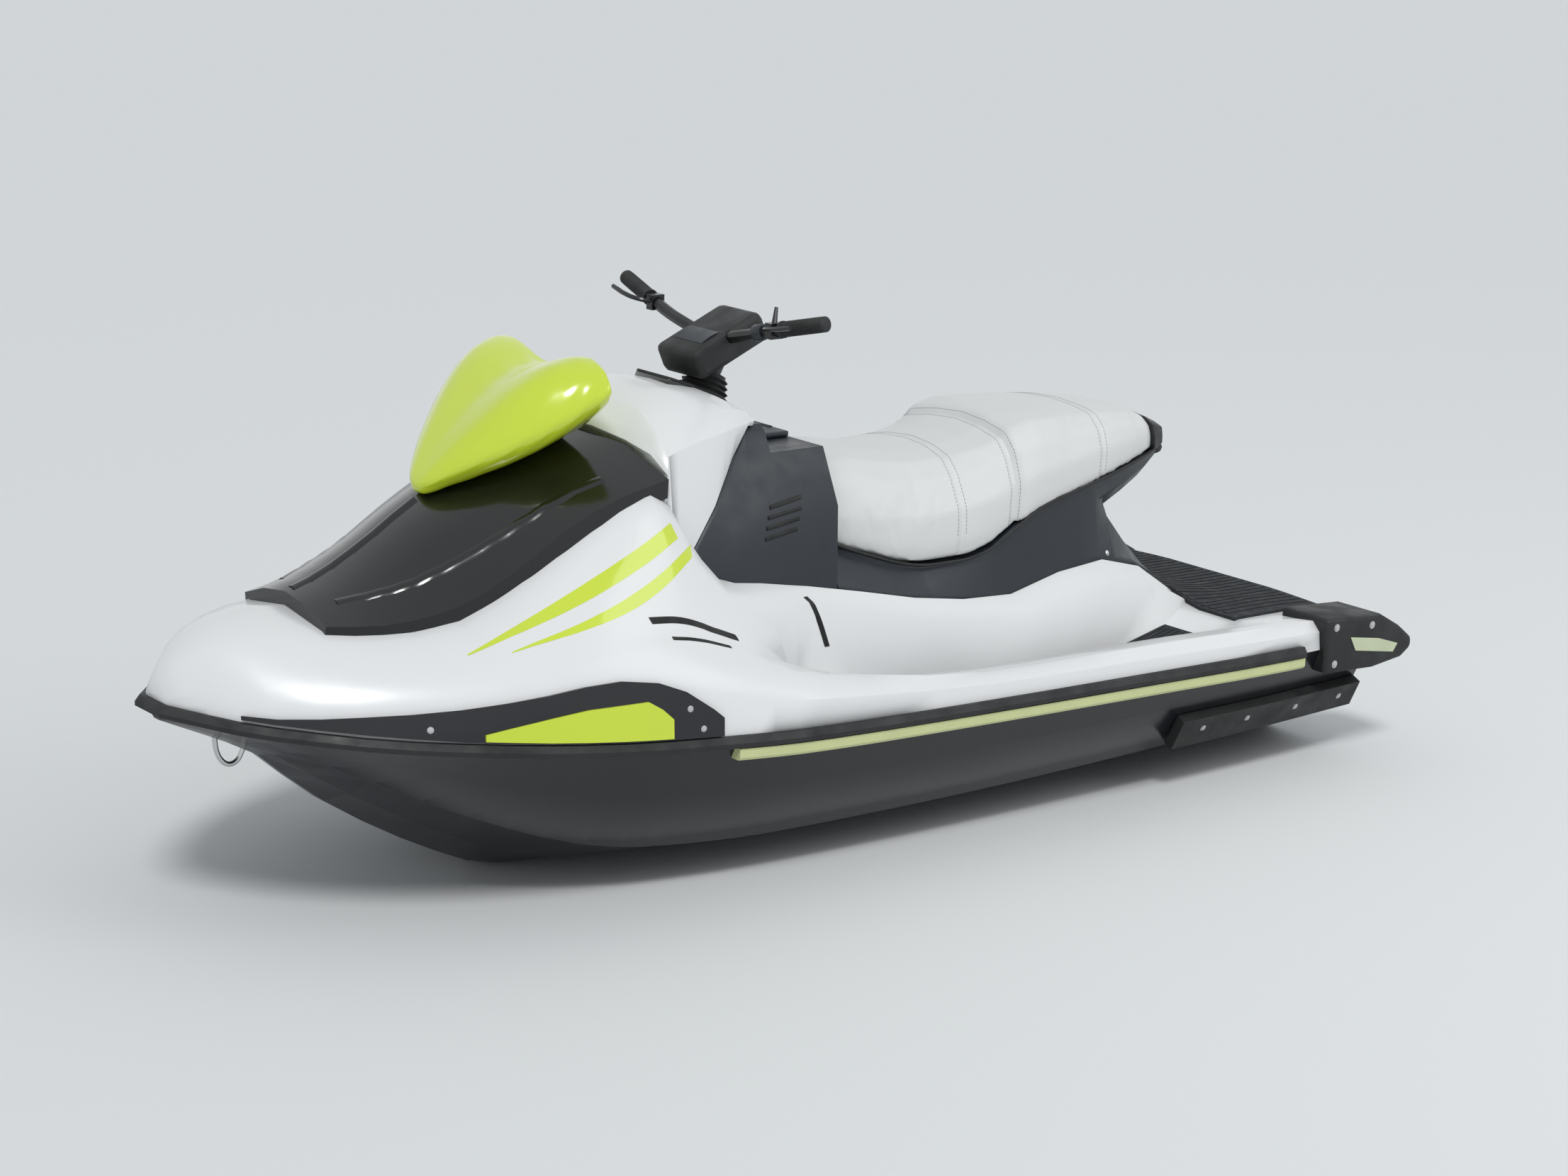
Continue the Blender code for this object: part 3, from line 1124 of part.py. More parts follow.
for side, word, lever_word in ((1, "left", "reverse_lever"), (-1, "right", "throttle_lever")):
    start = Vector((GRIP_START.x, side * GRIP_START.y, GRIP_START.z))
    end = Vector((GRIP_END.x, side * GRIP_END.y, GRIP_END.z))
    run = (end - start).normalized()
    cylinder("grip_" + word, GRIP_RADIUS, start + run * 2.0 * GAP, end, "black_rubber", segments=20)
    middle = start - run * 0.024
    clamp = box(lever_word, tuple(m - h for m, h in zip(middle, CLAMP_HALF)),
                tuple(m + h for m, h in zip(middle, CLAMP_HALF)), "black_gelcoat")
    root = middle + Vector((0.012, 0.0, 0.002))
    lever = tube("lever_cutter_" + word, [
        root, root + Vector((0.020, side * 0.008, 0.004)),
        root + Vector((0.034, side * 0.040, 0.010)), root + Vector((0.030, side * 0.105, 0.022))],
        0.0055, None, resolution=1, segments=3)
    weld(clamp, lever)
    if side > 0:
        stalk = cylinder("lever_stalk_cutter", 0.0065, middle + Vector((0.0, 0.0, 0.014)),
                         middle + Vector((-0.012, -0.010, 0.048)), radius_end=0.0040, segments=12)
        weld(clamp, stalk)
    cut(clamp, bar_cutter)


# Drive: intake grate, ride plate, pump, impeller, nozzle and bucket
GRATE_X = (-0.850, -0.545)
GRATE_HALF_WIDTH = 0.098
GRATE_THICKNESS = 0.008
grate_recess = box("grate_recess_cutter", (GRATE_X[0] - GAP, -GRATE_HALF_WIDTH - GAP, -0.05),
                   (GRATE_X[1] + GAP, GRATE_HALF_WIDTH + GAP, GRATE_THICKNESS + GAP))
cut(hull, grate_recess)
grate = box("intake_grate", (GRATE_X[0], -GRATE_HALF_WIDTH, 0.0),
            (GRATE_X[1], GRATE_HALF_WIDTH, GRATE_THICKNESS), "aluminium")
SLOTS = 4
slot_pitch = 2.0 * 0.070 / SLOTS
for index in range(SLOTS):
    slot_y = -0.070 + slot_pitch * (index + 0.5)
    slot = box("grate_slot_cutter_%d" % index, (GRATE_X[0] + 0.045, slot_y - 0.013, -0.02),
               (GRATE_X[1] - 0.025, slot_y + 0.013, 0.03))
    cut(grate, slot)

ride_plate = box("ride_plate", (TRANSOM_X, -RIDE_PLATE_HALF_WIDTH, 0.0),
                 (TUNNEL_FRONT_X - GAP, RIDE_PLATE_HALF_WIDTH, RIDE_PLATE_THICKNESS), "aluminium")

HOUSING_FRONT_X = TUNNEL_FRONT_X - GAP
housing = turned_x("pump_housing", [
    (HOUSING_FRONT_X, 0.106), (HOUSING_FRONT_X - 0.012, 0.106), (HOUSING_FRONT_X - 0.014, 0.091),
    (-1.130, PUMP_BORE + PUMP_WALL), (-1.225, OUTLET_BORE + OUTLET_WALL + 0.001),
    (PUMP_REAR_X, OUTLET_BORE + OUTLET_WALL), (PUMP_REAR_X, OUTLET_BORE),
    (-1.215, OUTLET_BORE + 0.001), (-1.150, PUMP_BORE - 0.004), (-1.120, PUMP_BORE),
    (HOUSING_FRONT_X, PUMP_BORE)], PUMP_Z, "aluminium")
stator_hub = turned_x("stator_hub_cutter", [
    (-1.088, 0.001), (-1.088, 0.034), (-1.130, 0.034), (-1.190, 0.020), (-1.215, 0.004),
    (-1.215, 0.001)], PUMP_Z, None, 20)
weld(housing, stator_hub)
VANES = 6
for index in range(VANES):
    vane = box("stator_vane_cutter_%d" % index, (-1.165, -0.002, 0.030), (-1.095, 0.002, 0.0815))
    vane.matrix_world = Matrix.Translation((0.0, 0.0, PUMP_Z)) @ Matrix.Rotation(
        2.0 * math.pi * index / VANES, 4, "X")
    weld(housing, vane)
EAR_LOW = NOZZLE_BALL + NOZZLE_WALL + 0.0025
EAR_HIGH = EAR_LOW + 0.008
for sign in (1, -1):
    low_z, high_z = sorted((PUMP_Z + sign * EAR_LOW, PUMP_Z + sign * EAR_HIGH))
    ear = box("pump_ear_cutter_%d" % sign, (NOZZLE_PIVOT_X - 0.014, -0.014, low_z),
              (-1.145, 0.014, high_z))
    weld(housing, ear)

nozzle = turned_x("jet_nozzle", [
    (NOZZLE_PIVOT_X + 0.025, 0.9885 * NOZZLE_BALL + 0.002),
    (NOZZLE_PIVOT_X, NOZZLE_BALL + NOZZLE_WALL), (NOZZLE_PIVOT_X - 0.035, NOZZLE_BALL),
    (NOZZLE_REAR_X, 0.052), (NOZZLE_REAR_X, 0.045), (NOZZLE_PIVOT_X - 0.045, 0.054),
    (NOZZLE_PIVOT_X - 0.025, 0.930 * NOZZLE_BALL), (NOZZLE_PIVOT_X, NOZZLE_BALL),
    (NOZZLE_PIVOT_X + 0.025, 0.930 * NOZZLE_BALL)], PUMP_Z, "aluminium")
for sign in (1, -1):
    pin = cylinder("nozzle_pin_cutter_%d" % sign, 0.0065,
                   (NOZZLE_PIVOT_X, 0.0, PUMP_Z + sign * (NOZZLE_BALL + 0.003)),
                   (NOZZLE_PIVOT_X, 0.0, PUMP_Z + sign * (EAR_LOW - GAP)), segments=16)
    weld(nozzle, pin)


def sector(name, inner, outer, start_deg, end_deg, low_y, high_y, finish=None, steps=10):
    """Sector in the XZ plane about the bucket's pivot, angles measured up from straight aft."""
    outline = []
    for index in range(steps + 1):
        angle = math.radians(start_deg + (end_deg - start_deg) * index / steps)
        outline.append((BUCKET_PIVOT_X - outer * math.cos(angle), PUMP_Z + outer * math.sin(angle)))
    if inner > 0.0:
        for index in range(steps, -1, -1):
            angle = math.radians(start_deg + (end_deg - start_deg) * index / steps)
            outline.append((BUCKET_PIVOT_X - inner * math.cos(angle),
                            PUMP_Z + inner * math.sin(angle)))
    else:
        outline.append((BUCKET_PIVOT_X + 0.010, PUMP_Z + 0.010))
        outline.append((BUCKET_PIVOT_X + 0.010, PUMP_Z - 0.010))
    bm = bmesh.new()
    face = bm.faces.new([bm.verts.new((x, low_y, z)) for x, z in outline])
    grown = bmesh.ops.extrude_face_region(bm, geom=[face])
    moved = [item for item in grown["geom"] if isinstance(item, bmesh.types.BMVert)]
    bmesh.ops.translate(bm, vec=(0.0, high_y - low_y, 0.0), verts=moved)
    return add_object(name, mesh_from(bm, name, 35.0), finish)


BUCKET_REST = (36.0, 88.0)
bucket = sector("reverse_bucket", BUCKET_RADIUS, BUCKET_RADIUS + 0.008, BUCKET_REST[0],
                BUCKET_REST[1], -BUCKET_HALF_WIDTH, BUCKET_HALF_WIDTH, "aluminium")
for sign in (1, -1):
    low_y, high_y = sorted((sign * (BUCKET_HALF_WIDTH - 0.006), sign * BUCKET_HALF_WIDTH))
    arm = sector("bucket_arm_cutter_%d" % sign, 0.0, BUCKET_RADIUS + 0.004, 40.0, 80.0, low_y, high_y)
    pin = cylinder("bucket_pin_cutter_%d" % sign, 0.007,
                   (BUCKET_PIVOT_X, sign * (BUCKET_HALF_WIDTH - 0.004), PUMP_Z),
                   (BUCKET_PIVOT_X, sign * (TUNNEL_HALF_WIDTH - GAP), PUMP_Z), segments=16)
    weld(bucket, arm, pin)

IMPELLER_X = -1.040
IMPELLER_HUB = 0.030
IMPELLER_TIP = PUMP_BORE - CLEAR
impeller = turned_x("impeller", [
    (-0.985, 0.001), (-0.985, SHAFT_RADIUS + 0.003), (-1.005, IMPELLER_HUB),
    (-1.078, IMPELLER_HUB + 0.003), (-1.078, 0.001)], PUMP_Z, "stainless", 20)
shaft = cylinder("drive_shaft_cutter", SHAFT_RADIUS, (-1.000, 0.0, PUMP_Z),
                 (ENGINE_CENTRE[0] - ENGINE_SIZE[0] / 2 - CLEAR, 0.0, PUMP_Z))
weld(impeller, shaft)
BLADES = 3


def blade_rings(turn, stations=5):
    """Rings of one twisted blade from the hub to the tip."""
    rings = []
    for index in range(stations):
        radius = IMPELLER_HUB - 0.004 + (IMPELLER_TIP - IMPELLER_HUB + 0.004) * index / (stations - 1)
        half_chord = 0.024 + 0.010 * index / (stations - 1)
        pitch = math.atan2(0.034, radius)
        ring = []
        for along_chord, thick in ((-1, -1), (1, -1), (1, 1), (-1, 1)):
            dx = along_chord * half_chord * math.sin(pitch) + thick * 0.0018 * math.cos(pitch)
            dt = along_chord * half_chord * math.cos(pitch) - thick * 0.0018 * math.sin(pitch)
            angle = turn + dt / radius
            ring.append((IMPELLER_X + dx, -radius * math.sin(angle),
                         PUMP_Z + radius * math.cos(angle)))
        rings.append(ring)
    return rings


for index in range(BLADES):
    blade = loft("impeller_blade_cutter_%d" % index, blade_rings(2.0 * math.pi * index / BLADES))
    weld(impeller, blade)


# Origins of the moving pieces on their joints' axes
def set_origin(made, point):
    """Move an object's origin to a world point without moving its shape."""
    bpy.context.view_layer.update()
    move = made.matrix_world.inverted() @ Vector(point)
    made.data.transform(Matrix.Translation(-move))
    made.matrix_world = made.matrix_world @ Matrix.Translation(move)


set_origin(hood, HOOD_HINGE)
set_origin(glovebox_lid, (GLOVE_X[0], 0.0, GLOVE_TOP_Z + 0.007))
set_origin(bucket, (BUCKET_PIVOT_X, 0.0, PUMP_Z))
steering = bpy.data.objects.new("steering_axis", None)
steering.location = STEER_PIVOT
steering.rotation_euler = (0.0, -COLUMN_TILT, 0.0)
PARTS.objects.link(steering)
bpy.context.view_layer.update()
for name in ("steering_column", "handlebar", "bar_pad", "grip_left", "grip_right", "reverse_lever",
             "throttle_lever"):
    made = bpy.data.objects[name]
    made.parent = steering
    made.matrix_parent_inverse = steering.matrix_world.inverted()
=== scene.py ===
"""Looks of a personal watercraft: finishes, soft parts and fine forms around its fixed frame."""

import logging
import math
from dataclasses import dataclass, field
from enum import Enum

import bmesh
import bpy
import numpy as np
from mathutils import Matrix, Vector
from mathutils.bvhtree import BVHTree


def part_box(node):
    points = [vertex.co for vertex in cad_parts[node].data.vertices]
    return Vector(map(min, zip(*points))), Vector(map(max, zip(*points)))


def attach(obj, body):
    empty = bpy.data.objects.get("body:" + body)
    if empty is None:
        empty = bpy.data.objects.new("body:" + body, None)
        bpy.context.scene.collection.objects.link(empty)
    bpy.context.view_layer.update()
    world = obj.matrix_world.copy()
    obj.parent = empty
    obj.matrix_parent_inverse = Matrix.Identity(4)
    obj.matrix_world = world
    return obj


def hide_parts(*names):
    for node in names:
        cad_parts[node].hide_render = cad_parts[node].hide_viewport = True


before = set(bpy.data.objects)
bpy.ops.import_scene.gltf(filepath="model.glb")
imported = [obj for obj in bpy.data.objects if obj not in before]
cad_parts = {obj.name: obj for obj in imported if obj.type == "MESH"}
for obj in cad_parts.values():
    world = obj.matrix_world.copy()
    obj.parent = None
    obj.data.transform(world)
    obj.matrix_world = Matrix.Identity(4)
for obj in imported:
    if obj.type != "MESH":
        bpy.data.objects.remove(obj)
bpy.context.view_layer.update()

LOG = logging.getLogger("watercraft")

# A place or a direction, and a pair of measures, in metres.
Point = tuple[float, float, float]
Pair = tuple[float, float]
UP: Point = (0.0, 0.0, 1.0)
DOWN: Point = (0.0, 0.0, -1.0)
# From port towards the middle.
INWARD: Point = (0.0, -1.0, 0.0)

MM = 0.001
FULL_TURN = 2.0 * math.pi
# Points of a CAD mesh that lie closer than this, in metres, are one point.
WELD = 0.00002
# Faces of a CAD mesh that meet at less than this, in degrees, are one face.
FLAT_DEG = 0.3
# A ray that looks for a surface starts this far before its spot, and ends after this length.
RAY_BACK, RAY_REACH = 0.4, 0.9
# A run steeper than this, by the Z part of its direction, takes its side from X and not from Z.
STEEP = 0.9
# How often a line's corners are cut to round them.
CORNER_CUTS = 3
# Dirt and wear darken a surface this many times as much as polish brightens it.
DIRT_BIAS = 1.6
# Roughness swings by this share over a surface's patches.
ROUGH_SWING = 0.25
# Nearly all values of a noise lie between these two.
NOISE_LOW, NOISE_HIGH = 0.3, 0.7


class Slot(Enum):
    """Material slots of the record."""

    BLACK_GELCOAT = "black_gelcoat"
    WHITE_GELCOAT = "white_gelcoat"
    BLACK_RUBBER = "black_rubber"
    GREY_FOAM = "grey_foam"
    WHITE_VINYL = "white_vinyl"
    DARK_PLASTIC = "dark_plastic"
    HOOD_PAINT = "hood_paint"
    LIME_PAINT = "lime_paint"
    BLACK_PAINT = "black_paint"
    ALUMINIUM = "aluminium"
    STAINLESS = "stainless"
    MIRROR = "mirror"
    DISPLAY = "display"
    ENGINE_GREY = "engine_grey"
    PALE_LIME = "pale_lime"
    PALE_PLASTIC = "pale_plastic"


class Side(Enum):
    """The two sides of the craft and their sign along Y."""

    LEFT = 1
    RIGHT = -1

    @property
    def word(self) -> str:
        """Word that ends the names of this side's pieces."""
        return self.name.lower()


BOTH_SIDES = (Side.LEFT, Side.RIGHT)


def linear(colour: str) -> tuple[float, float, float, float]:
    """Turn an sRGB hex colour into linear red, green, blue and alpha.

    Args:
        colour: Colour such as "#d0d4d6".

    Returns:
        Linear values for a shader's socket.
    """
    values = [int(colour[start:start + 2], 16) / 255.0 for start in (1, 3, 5)]
    red, green, blue = [value / 12.92 if value <= 0.04045 else ((value + 0.055) / 1.055) ** 2.4
                        for value in values]
    return red, green, blue, 1.0


def add_node(tree: bpy.types.NodeTree, kind: str, settings: dict | None = None,
             links: dict | None = None) -> bpy.types.Node:
    """Add a node with its settings and links.

    Args:
        tree: Node tree that gets the node.
        kind: Blender's type name of the node.
        settings: Values by property name, or by input name or number.
        links: Output sockets by the input name or number that they go to.

    Returns:
        The new node.
    """
    made = tree.nodes.new(kind)
    for name, value in (settings or {}).items():
        if isinstance(name, str) and hasattr(made, name):
            setattr(made, name, value)
        else:
            made.inputs[name].default_value = value
    for name, socket in (links or {}).items():
        tree.links.new(socket, made.inputs[name])
    return made


@dataclass(frozen=True)
class Finish:
    """A finish: a real material and how its surface was made."""

    name: str
    slot: Slot
    colour: str
    roughness: float
    metallic: float = 0.0
    ior: float = 1.50
    coat: float = 0.0
    coat_roughness: float = 0.04
    # Size and depth of the surface's own grain.
    grain_mm: float = 1.0
    grain_depth_mm: float = 0.05
    # Share by which the colour varies over patches of this size.
    mottle: float = 0.03
    patch_mm: float = 60.0

    def material(self) -> bpy.types.Material:
        """Make the finish's material at its first use.

        Returns:
            The material.
        """
        found = bpy.data.materials.get(self.name)
        if found is None:
            found = bpy.data.materials.new(self.name)
            found.use_nodes = True
            found.diffuse_color = linear(self.colour)
            self.dress(found.node_tree, found.node_tree.nodes["Principled BSDF"])
        return found

    def set_shader(self, shader: bpy.types.Node) -> None:
        """Set the values that are the same all over the surface.

        Args:
            shader: The material's Principled shader.
        """
        shader.inputs["Base Color"].default_value = linear(self.colour)
        shader.inputs["Roughness"].default_value = self.roughness
        shader.inputs["Metallic"].default_value = self.metallic
        shader.inputs["Coat Weight"].default_value = self.coat
        shader.inputs["Coat Roughness"].default_value = self.coat_roughness
        if self.metallic < 0.5:
            shader.inputs["IOR"].default_value = self.ior

    def place(self, tree: bpy.types.NodeTree) -> bpy.types.NodeSocket:
        """Return the place on the piece in metres, from which every pattern starts."""
        return add_node(tree, "ShaderNodeTexCoord").outputs["Object"]

    def mottled(self, tree: bpy.types.NodeTree, shader: bpy.types.Node,
                place: bpy.types.NodeSocket) -> bpy.types.Node:
        """Vary colour and roughness a little over the surface.

        Args:
            tree: The material's node tree.
            shader: Its Principled shader.
            place: Place on the piece.

        Returns:
            The noise node, for other uses.
        """
        noise = add_node(tree, "ShaderNodeTexNoise", {
            "Scale": 1.0 / (self.patch_mm * MM), "Detail": 5.0}, {"Vector": place})
        base = linear(self.colour)
        darker, brighter = 1.0 - DIRT_BIAS * self.mottle, 1.0 + self.mottle
        low = tuple(max(0.0, value * darker) for value in base[:3]) + (1.0,)
        high = tuple(min(1.0, value * brighter) for value in base[:3]) + (1.0,)
        tint = add_node(tree, "ShaderNodeMix", {"data_type": "RGBA", 6: low, 7: high},
                        {0: noise.outputs["Fac"]})
        tree.links.new(tint.outputs[2], shader.inputs["Base Color"])
        shift = ROUGH_SWING * self.roughness
        rough = add_node(tree, "ShaderNodeMapRange", {
            "From Min": NOISE_LOW, "From Max": NOISE_HIGH,
            "To Min": self.roughness - shift, "To Max": self.roughness + shift},
            {"Value": noise.outputs["Fac"]})
        tree.links.new(rough.outputs["Result"], shader.inputs["Roughness"])
        return noise

    def grained(self, tree: bpy.types.NodeTree, shader: bpy.types.Node,
                height: bpy.types.NodeSocket, depth_mm: float) -> None:
        """Give the surface a relief of a height pattern.

        Args:
            tree: The material's node tree.
            shader: Its Principled shader.
            height: Pattern of heights from 0 to 1.
            depth_mm: Depth of the relief.
        """
        bump = add_node(tree, "ShaderNodeBump", {"Strength": 1.0, "Distance": depth_mm * MM},
                        {"Height": height})
        tree.links.new(bump.outputs["Normal"], shader.inputs["Normal"])

    def dress(self, tree: bpy.types.NodeTree, shader: bpy.types.Node) -> None:
        """Build the nodes of a plain moulded or cast surface with a fine grain.

        Args:
            tree: The material's node tree.
            shader: Its Principled shader.
        """
        self.set_shader(shader)
        place = self.place(tree)
        self.mottled(tree, shader, place)
        grain = add_node(tree, "ShaderNodeTexNoise", {
            "Scale": 1.0 / (self.grain_mm * MM), "Detail": 3.0}, {"Vector": place})
        self.grained(tree, shader, grain.outputs["Fac"], self.grain_depth_mm)


@dataclass(frozen=True)
class Gelcoat(Finish):
    """Glass-fibre moulded in a polished mould: a deep gloss with a slight long wave."""

    wave_mm: float = 45.0
    patch_mm: float = 240.0

    def dress(self, tree: bpy.types.NodeTree, shader: bpy.types.Node) -> None:
        """Build the nodes: gloss, faint patches and the mould's slow wave.

        Args:
            tree: The material's node tree.
            shader: Its Principled shader.
        """
        self.set_shader(shader)
        place = self.place(tree)
        self.mottled(tree, shader, place)
        wave = add_node(tree, "ShaderNodeTexNoise", {
            "Scale": 1.0 / (self.wave_mm * MM), "Detail": 2.0, "Roughness": 0.4}, {"Vector": place})
        self.grained(tree, shader, wave.outputs["Fac"], self.grain_depth_mm)


@dataclass(frozen=True)
class Vinyl(Finish):
    """Marine vinyl, embossed with a leather grain: soft sheen broken by small cells."""

    patch_mm: float = 90.0
    # Share of a cell's width that its valley takes, and the part of the slow relief.
    valley: float = 0.28
    slow_part: float = 0.35

    def dress(self, tree: bpy.types.NodeTree, shader: bpy.types.Node) -> None:
        """Build the nodes: grain cells with darker valleys, over slow patches.

        Args:
            tree: The material's node tree.
            shader: Its Principled shader.
        """
        self.set_shader(shader)
        place = self.place(tree)
        noise = self.mottled(tree, shader, place)
        cells = add_node(tree, "ShaderNodeTexVoronoi", {
            "feature": "DISTANCE_TO_EDGE", "Scale": 1.0 / (self.grain_mm * MM)}, {"Vector": place})
        raised = add_node(tree, "ShaderNodeMapRange", {
            "From Min": 0.0, "From Max": self.valley, "To Min": 0.0, "To Max": 1.0},
            {"Value": cells.outputs["Distance"]})
        soft = add_node(tree, "ShaderNodeMath", {"operation": "MULTIPLY_ADD", 1: self.slow_part},
                        {0: noise.outputs["Fac"], 2: raised.outputs["Result"]})
        self.grained(tree, shader, soft.outputs["Value"], self.grain_depth_mm)


@dataclass(frozen=True)
class PorousFoam(Finish):
    """Closed-cell foam sheet, cut and scuffed: matt, with open pores."""

    patch_mm: float = 30.0

    def dress(self, tree: bpy.types.NodeTree, shader: bpy.types.Node) -> None:
        """Build the nodes: pores of the foam and scuffed tops.

        Args:
            tree: The material's node tree.
            shader: Its Principled shader.
        """
        self.set_shader(shader)
        place = self.place(tree)
        self.mottled(tree, shader, place)
        pores = add_node(tree, "ShaderNodeTexVoronoi", {"Scale": 1.0 / (self.grain_mm * MM)},
                         {"Vector": place})
        self.grained(tree, shader, pores.outputs["Distance"], self.grain_depth_mm)


@dataclass(frozen=True)
class BrushedMetal(Finish):
    """Metal turned or brushed in one direction: fine lines that stretch its highlights."""

    patch_mm: float = 50.0
    # The lines' pattern along X is this share of its pattern across.
    stretch: float = 0.04

    def dress(self, tree: bpy.types.NodeTree, shader: bpy.types.Node) -> None:
        """Build the nodes: lines along X, as left by a lathe or a belt.

        Args:
            tree: The material's node tree.
            shader: Its Principled shader.
        """
        self.set_shader(shader)
        place = self.place(tree)
        self.mottled(tree, shader, place)
        stretched = add_node(tree, "ShaderNodeMapping", {"Scale": (self.stretch, 1.0, 1.0)},
                             {"Vector": place})
        lines = add_node(tree, "ShaderNodeTexNoise", {
            "Scale": 1.0 / (self.grain_mm * MM), "Detail": 2.0},
            {"Vector": stretched.outputs["Vector"]})
        self.grained(tree, shader, lines.outputs["Fac"], self.grain_depth_mm)


# The grains below are drawn 0.8 to 3 mm wide, coarser than the real ones, so that they show.
# The mirror and the display have a slow wave of 30 to 40 mm in place of a grain.
# Glass-fibre with a white gelcoat: bright, with a deep clear gloss.
WHITE_GELCOAT = Gelcoat("white_gelcoat", Slot.WHITE_GELCOAT, "#dfe2e3", 0.20, coat=0.5,
                        grain_depth_mm=0.10, mottle=0.02)
# Glass-fibre with a black gelcoat, dulled by use: deep black with a dim reflection of the ground.
BLACK_GELCOAT = Gelcoat("black_gelcoat", Slot.BLACK_GELCOAT, "#08090a", 0.26, ior=1.38,
                        grain_depth_mm=0.10, mottle=0.15)
# Moulded rubber extrusion: matt, with a dry grey bloom.
RUBBER = Finish("moulded_rubber", Slot.BLACK_RUBBER, "#191a1b", 0.62, ior=1.52, grain_mm=1.4,
                grain_depth_mm=0.06, mottle=0.18)
# Closed-cell foam, routed: matt and porous.
FOAM = PorousFoam("routed_foam", Slot.GREY_FOAM, "#2b2e31", 0.88, ior=1.45, grain_mm=2.0,
                  grain_depth_mm=0.15, mottle=0.14)
# Marine vinyl in white: soft sheen, its leather grain in cells of 3 mm.
VINYL = Vinyl("marine_vinyl_white", Slot.WHITE_VINYL, "#e2e3e2", 0.46, ior=1.52, grain_mm=3.0,
              grain_depth_mm=0.12, mottle=0.03)
# Bonded polyester thread, drawn a little thicker than the real one so that it shows.
THREAD = Finish("bonded_polyester_thread", Slot.WHITE_VINYL, "#9a9ea1", 0.6, ior=1.5, grain_mm=0.8,
                grain_depth_mm=0.02, mottle=0.05)
# Injection-moulded ABS with a spark-eroded texture: blue-black and satin.
PLASTIC = Finish("moulded_abs", Slot.DARK_PLASTIC, "#1a222a", 0.42, ior=1.53, grain_mm=1.2,
                 grain_depth_mm=0.05, mottle=0.10)
# Painted moulding under a thin clear lacquer: near black, sharp reflections.
HOOD_PAINT = Gelcoat("lacquered_black", Slot.HOOD_PAINT, "#0e1113", 0.16, ior=1.42, coat=0.35,
                     grain_depth_mm=0.06, mottle=0.10)
# Painted moulding in lime under clear lacquer.
LIME_PAINT = Gelcoat("lacquered_lime", Slot.LIME_PAINT, "#d2e62e", 0.20, coat=0.8,
                     grain_depth_mm=0.05, mottle=0.04)
# Co-extruded PVC trim in pale lime: satin, a little chalky.
PALE_TRIM = Finish("extruded_pvc_pale_lime", Slot.PALE_LIME, "#cfd59c", 0.42, ior=1.53,
                   grain_mm=2.0, grain_depth_mm=0.03, mottle=0.06)
# Moulded PVC inlay, pale and sun-bleached.
PALE_INLAY = Finish("moulded_pvc_pale", Slot.PALE_PLASTIC, "#c7cfae", 0.5, ior=1.53, grain_mm=2.0,
                    grain_depth_mm=0.03, mottle=0.08)
# Painted shade: deep black strips that stand for the shade inside slits, vents, louvres and slots,
# which light hardly reaches.
SHADE_BLACK = Finish("painted_shade_black", Slot.BLACK_RUBBER, "#0d0e0f", 0.7, ior=1.52, grain_mm=1.4,
                   grain_depth_mm=0.04, mottle=0.10)
# Moulded ABS button caps, red for stop and green for start.
RED_CAP = Finish("moulded_abs_red", Slot.DARK_PLASTIC, "#b3261c", 0.35, ior=1.53, grain_mm=2.0,
                 grain_depth_mm=0.02, mottle=0.05)
GREEN_CAP = Finish("moulded_abs_green", Slot.DARK_PLASTIC, "#2f8f46", 0.35, ior=1.53, grain_mm=2.0,
                   grain_depth_mm=0.02, mottle=0.05)
# Powder-coated steel tube: satin black, slight orange peel.
POWDER_COAT = Finish("powder_coat_black", Slot.BLACK_PAINT, "#121314", 0.38, ior=1.5, grain_mm=1.6,
                     grain_depth_mm=0.05, mottle=0.10)
# Sand-cast aluminium with machined faces: grey, slightly rough.
ALUMINIUM = Finish("cast_aluminium", Slot.ALUMINIUM, "#b4b7ba", 0.36, metallic=1.0, grain_mm=1.3,
                   grain_depth_mm=0.05, mottle=0.06)
# Machined stainless steel: bright, with lines left by the tool.
STAINLESS = BrushedMetal("machined_stainless", Slot.STAINLESS, "#c9cacb", 0.22, metallic=1.0,
                         grain_mm=0.8, grain_depth_mm=0.02, mottle=0.04)
# Silvered glass: a clean mirror of the place around it.
MIRROR = Finish("silvered_glass", Slot.MIRROR, "#dfe3e6", 0.03, metallic=1.0, grain_mm=40.0,
                grain_depth_mm=0.01, mottle=0.01)
# Smoked acrylic over a display: black and wet-looking.
DISPLAY = Finish("smoked_acrylic", Slot.DISPLAY, "#0c0f12", 0.07, ior=1.49, coat=1.0, grain_mm=30.0,
                 grain_depth_mm=0.01, mottle=0.05)
# Enamelled cast block, in place of the engine.
ENGINE = Finish("enamelled_casting", Slot.ENGINE_GREY, "#55585b", 0.55, metallic=0.2, grain_mm=2.0,
                grain_depth_mm=0.10, mottle=0.10)


def show(obj: bpy.types.Object, finish: Finish, body: str, *nodes: str) -> bpy.types.Object:
    """Finish a piece, put it on its body and let it stand for CAD nodes.

    Args:
        obj: The new piece.
        finish: Its finish.
        body: Body that it rides on.
        nodes: CAD nodes that it stands for.

    Returns:
        The piece.
    """
    obj.data.materials.clear()
    obj.data.materials.append(finish.material())
    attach(obj, body)
    if nodes:
        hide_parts(*nodes)
    faces = len(obj.data.polygons) if obj.type == "MESH" else 0
    LOG.info("%s: %s on %s, %d faces before modifiers", obj.name, finish.name, body, faces)
    return obj


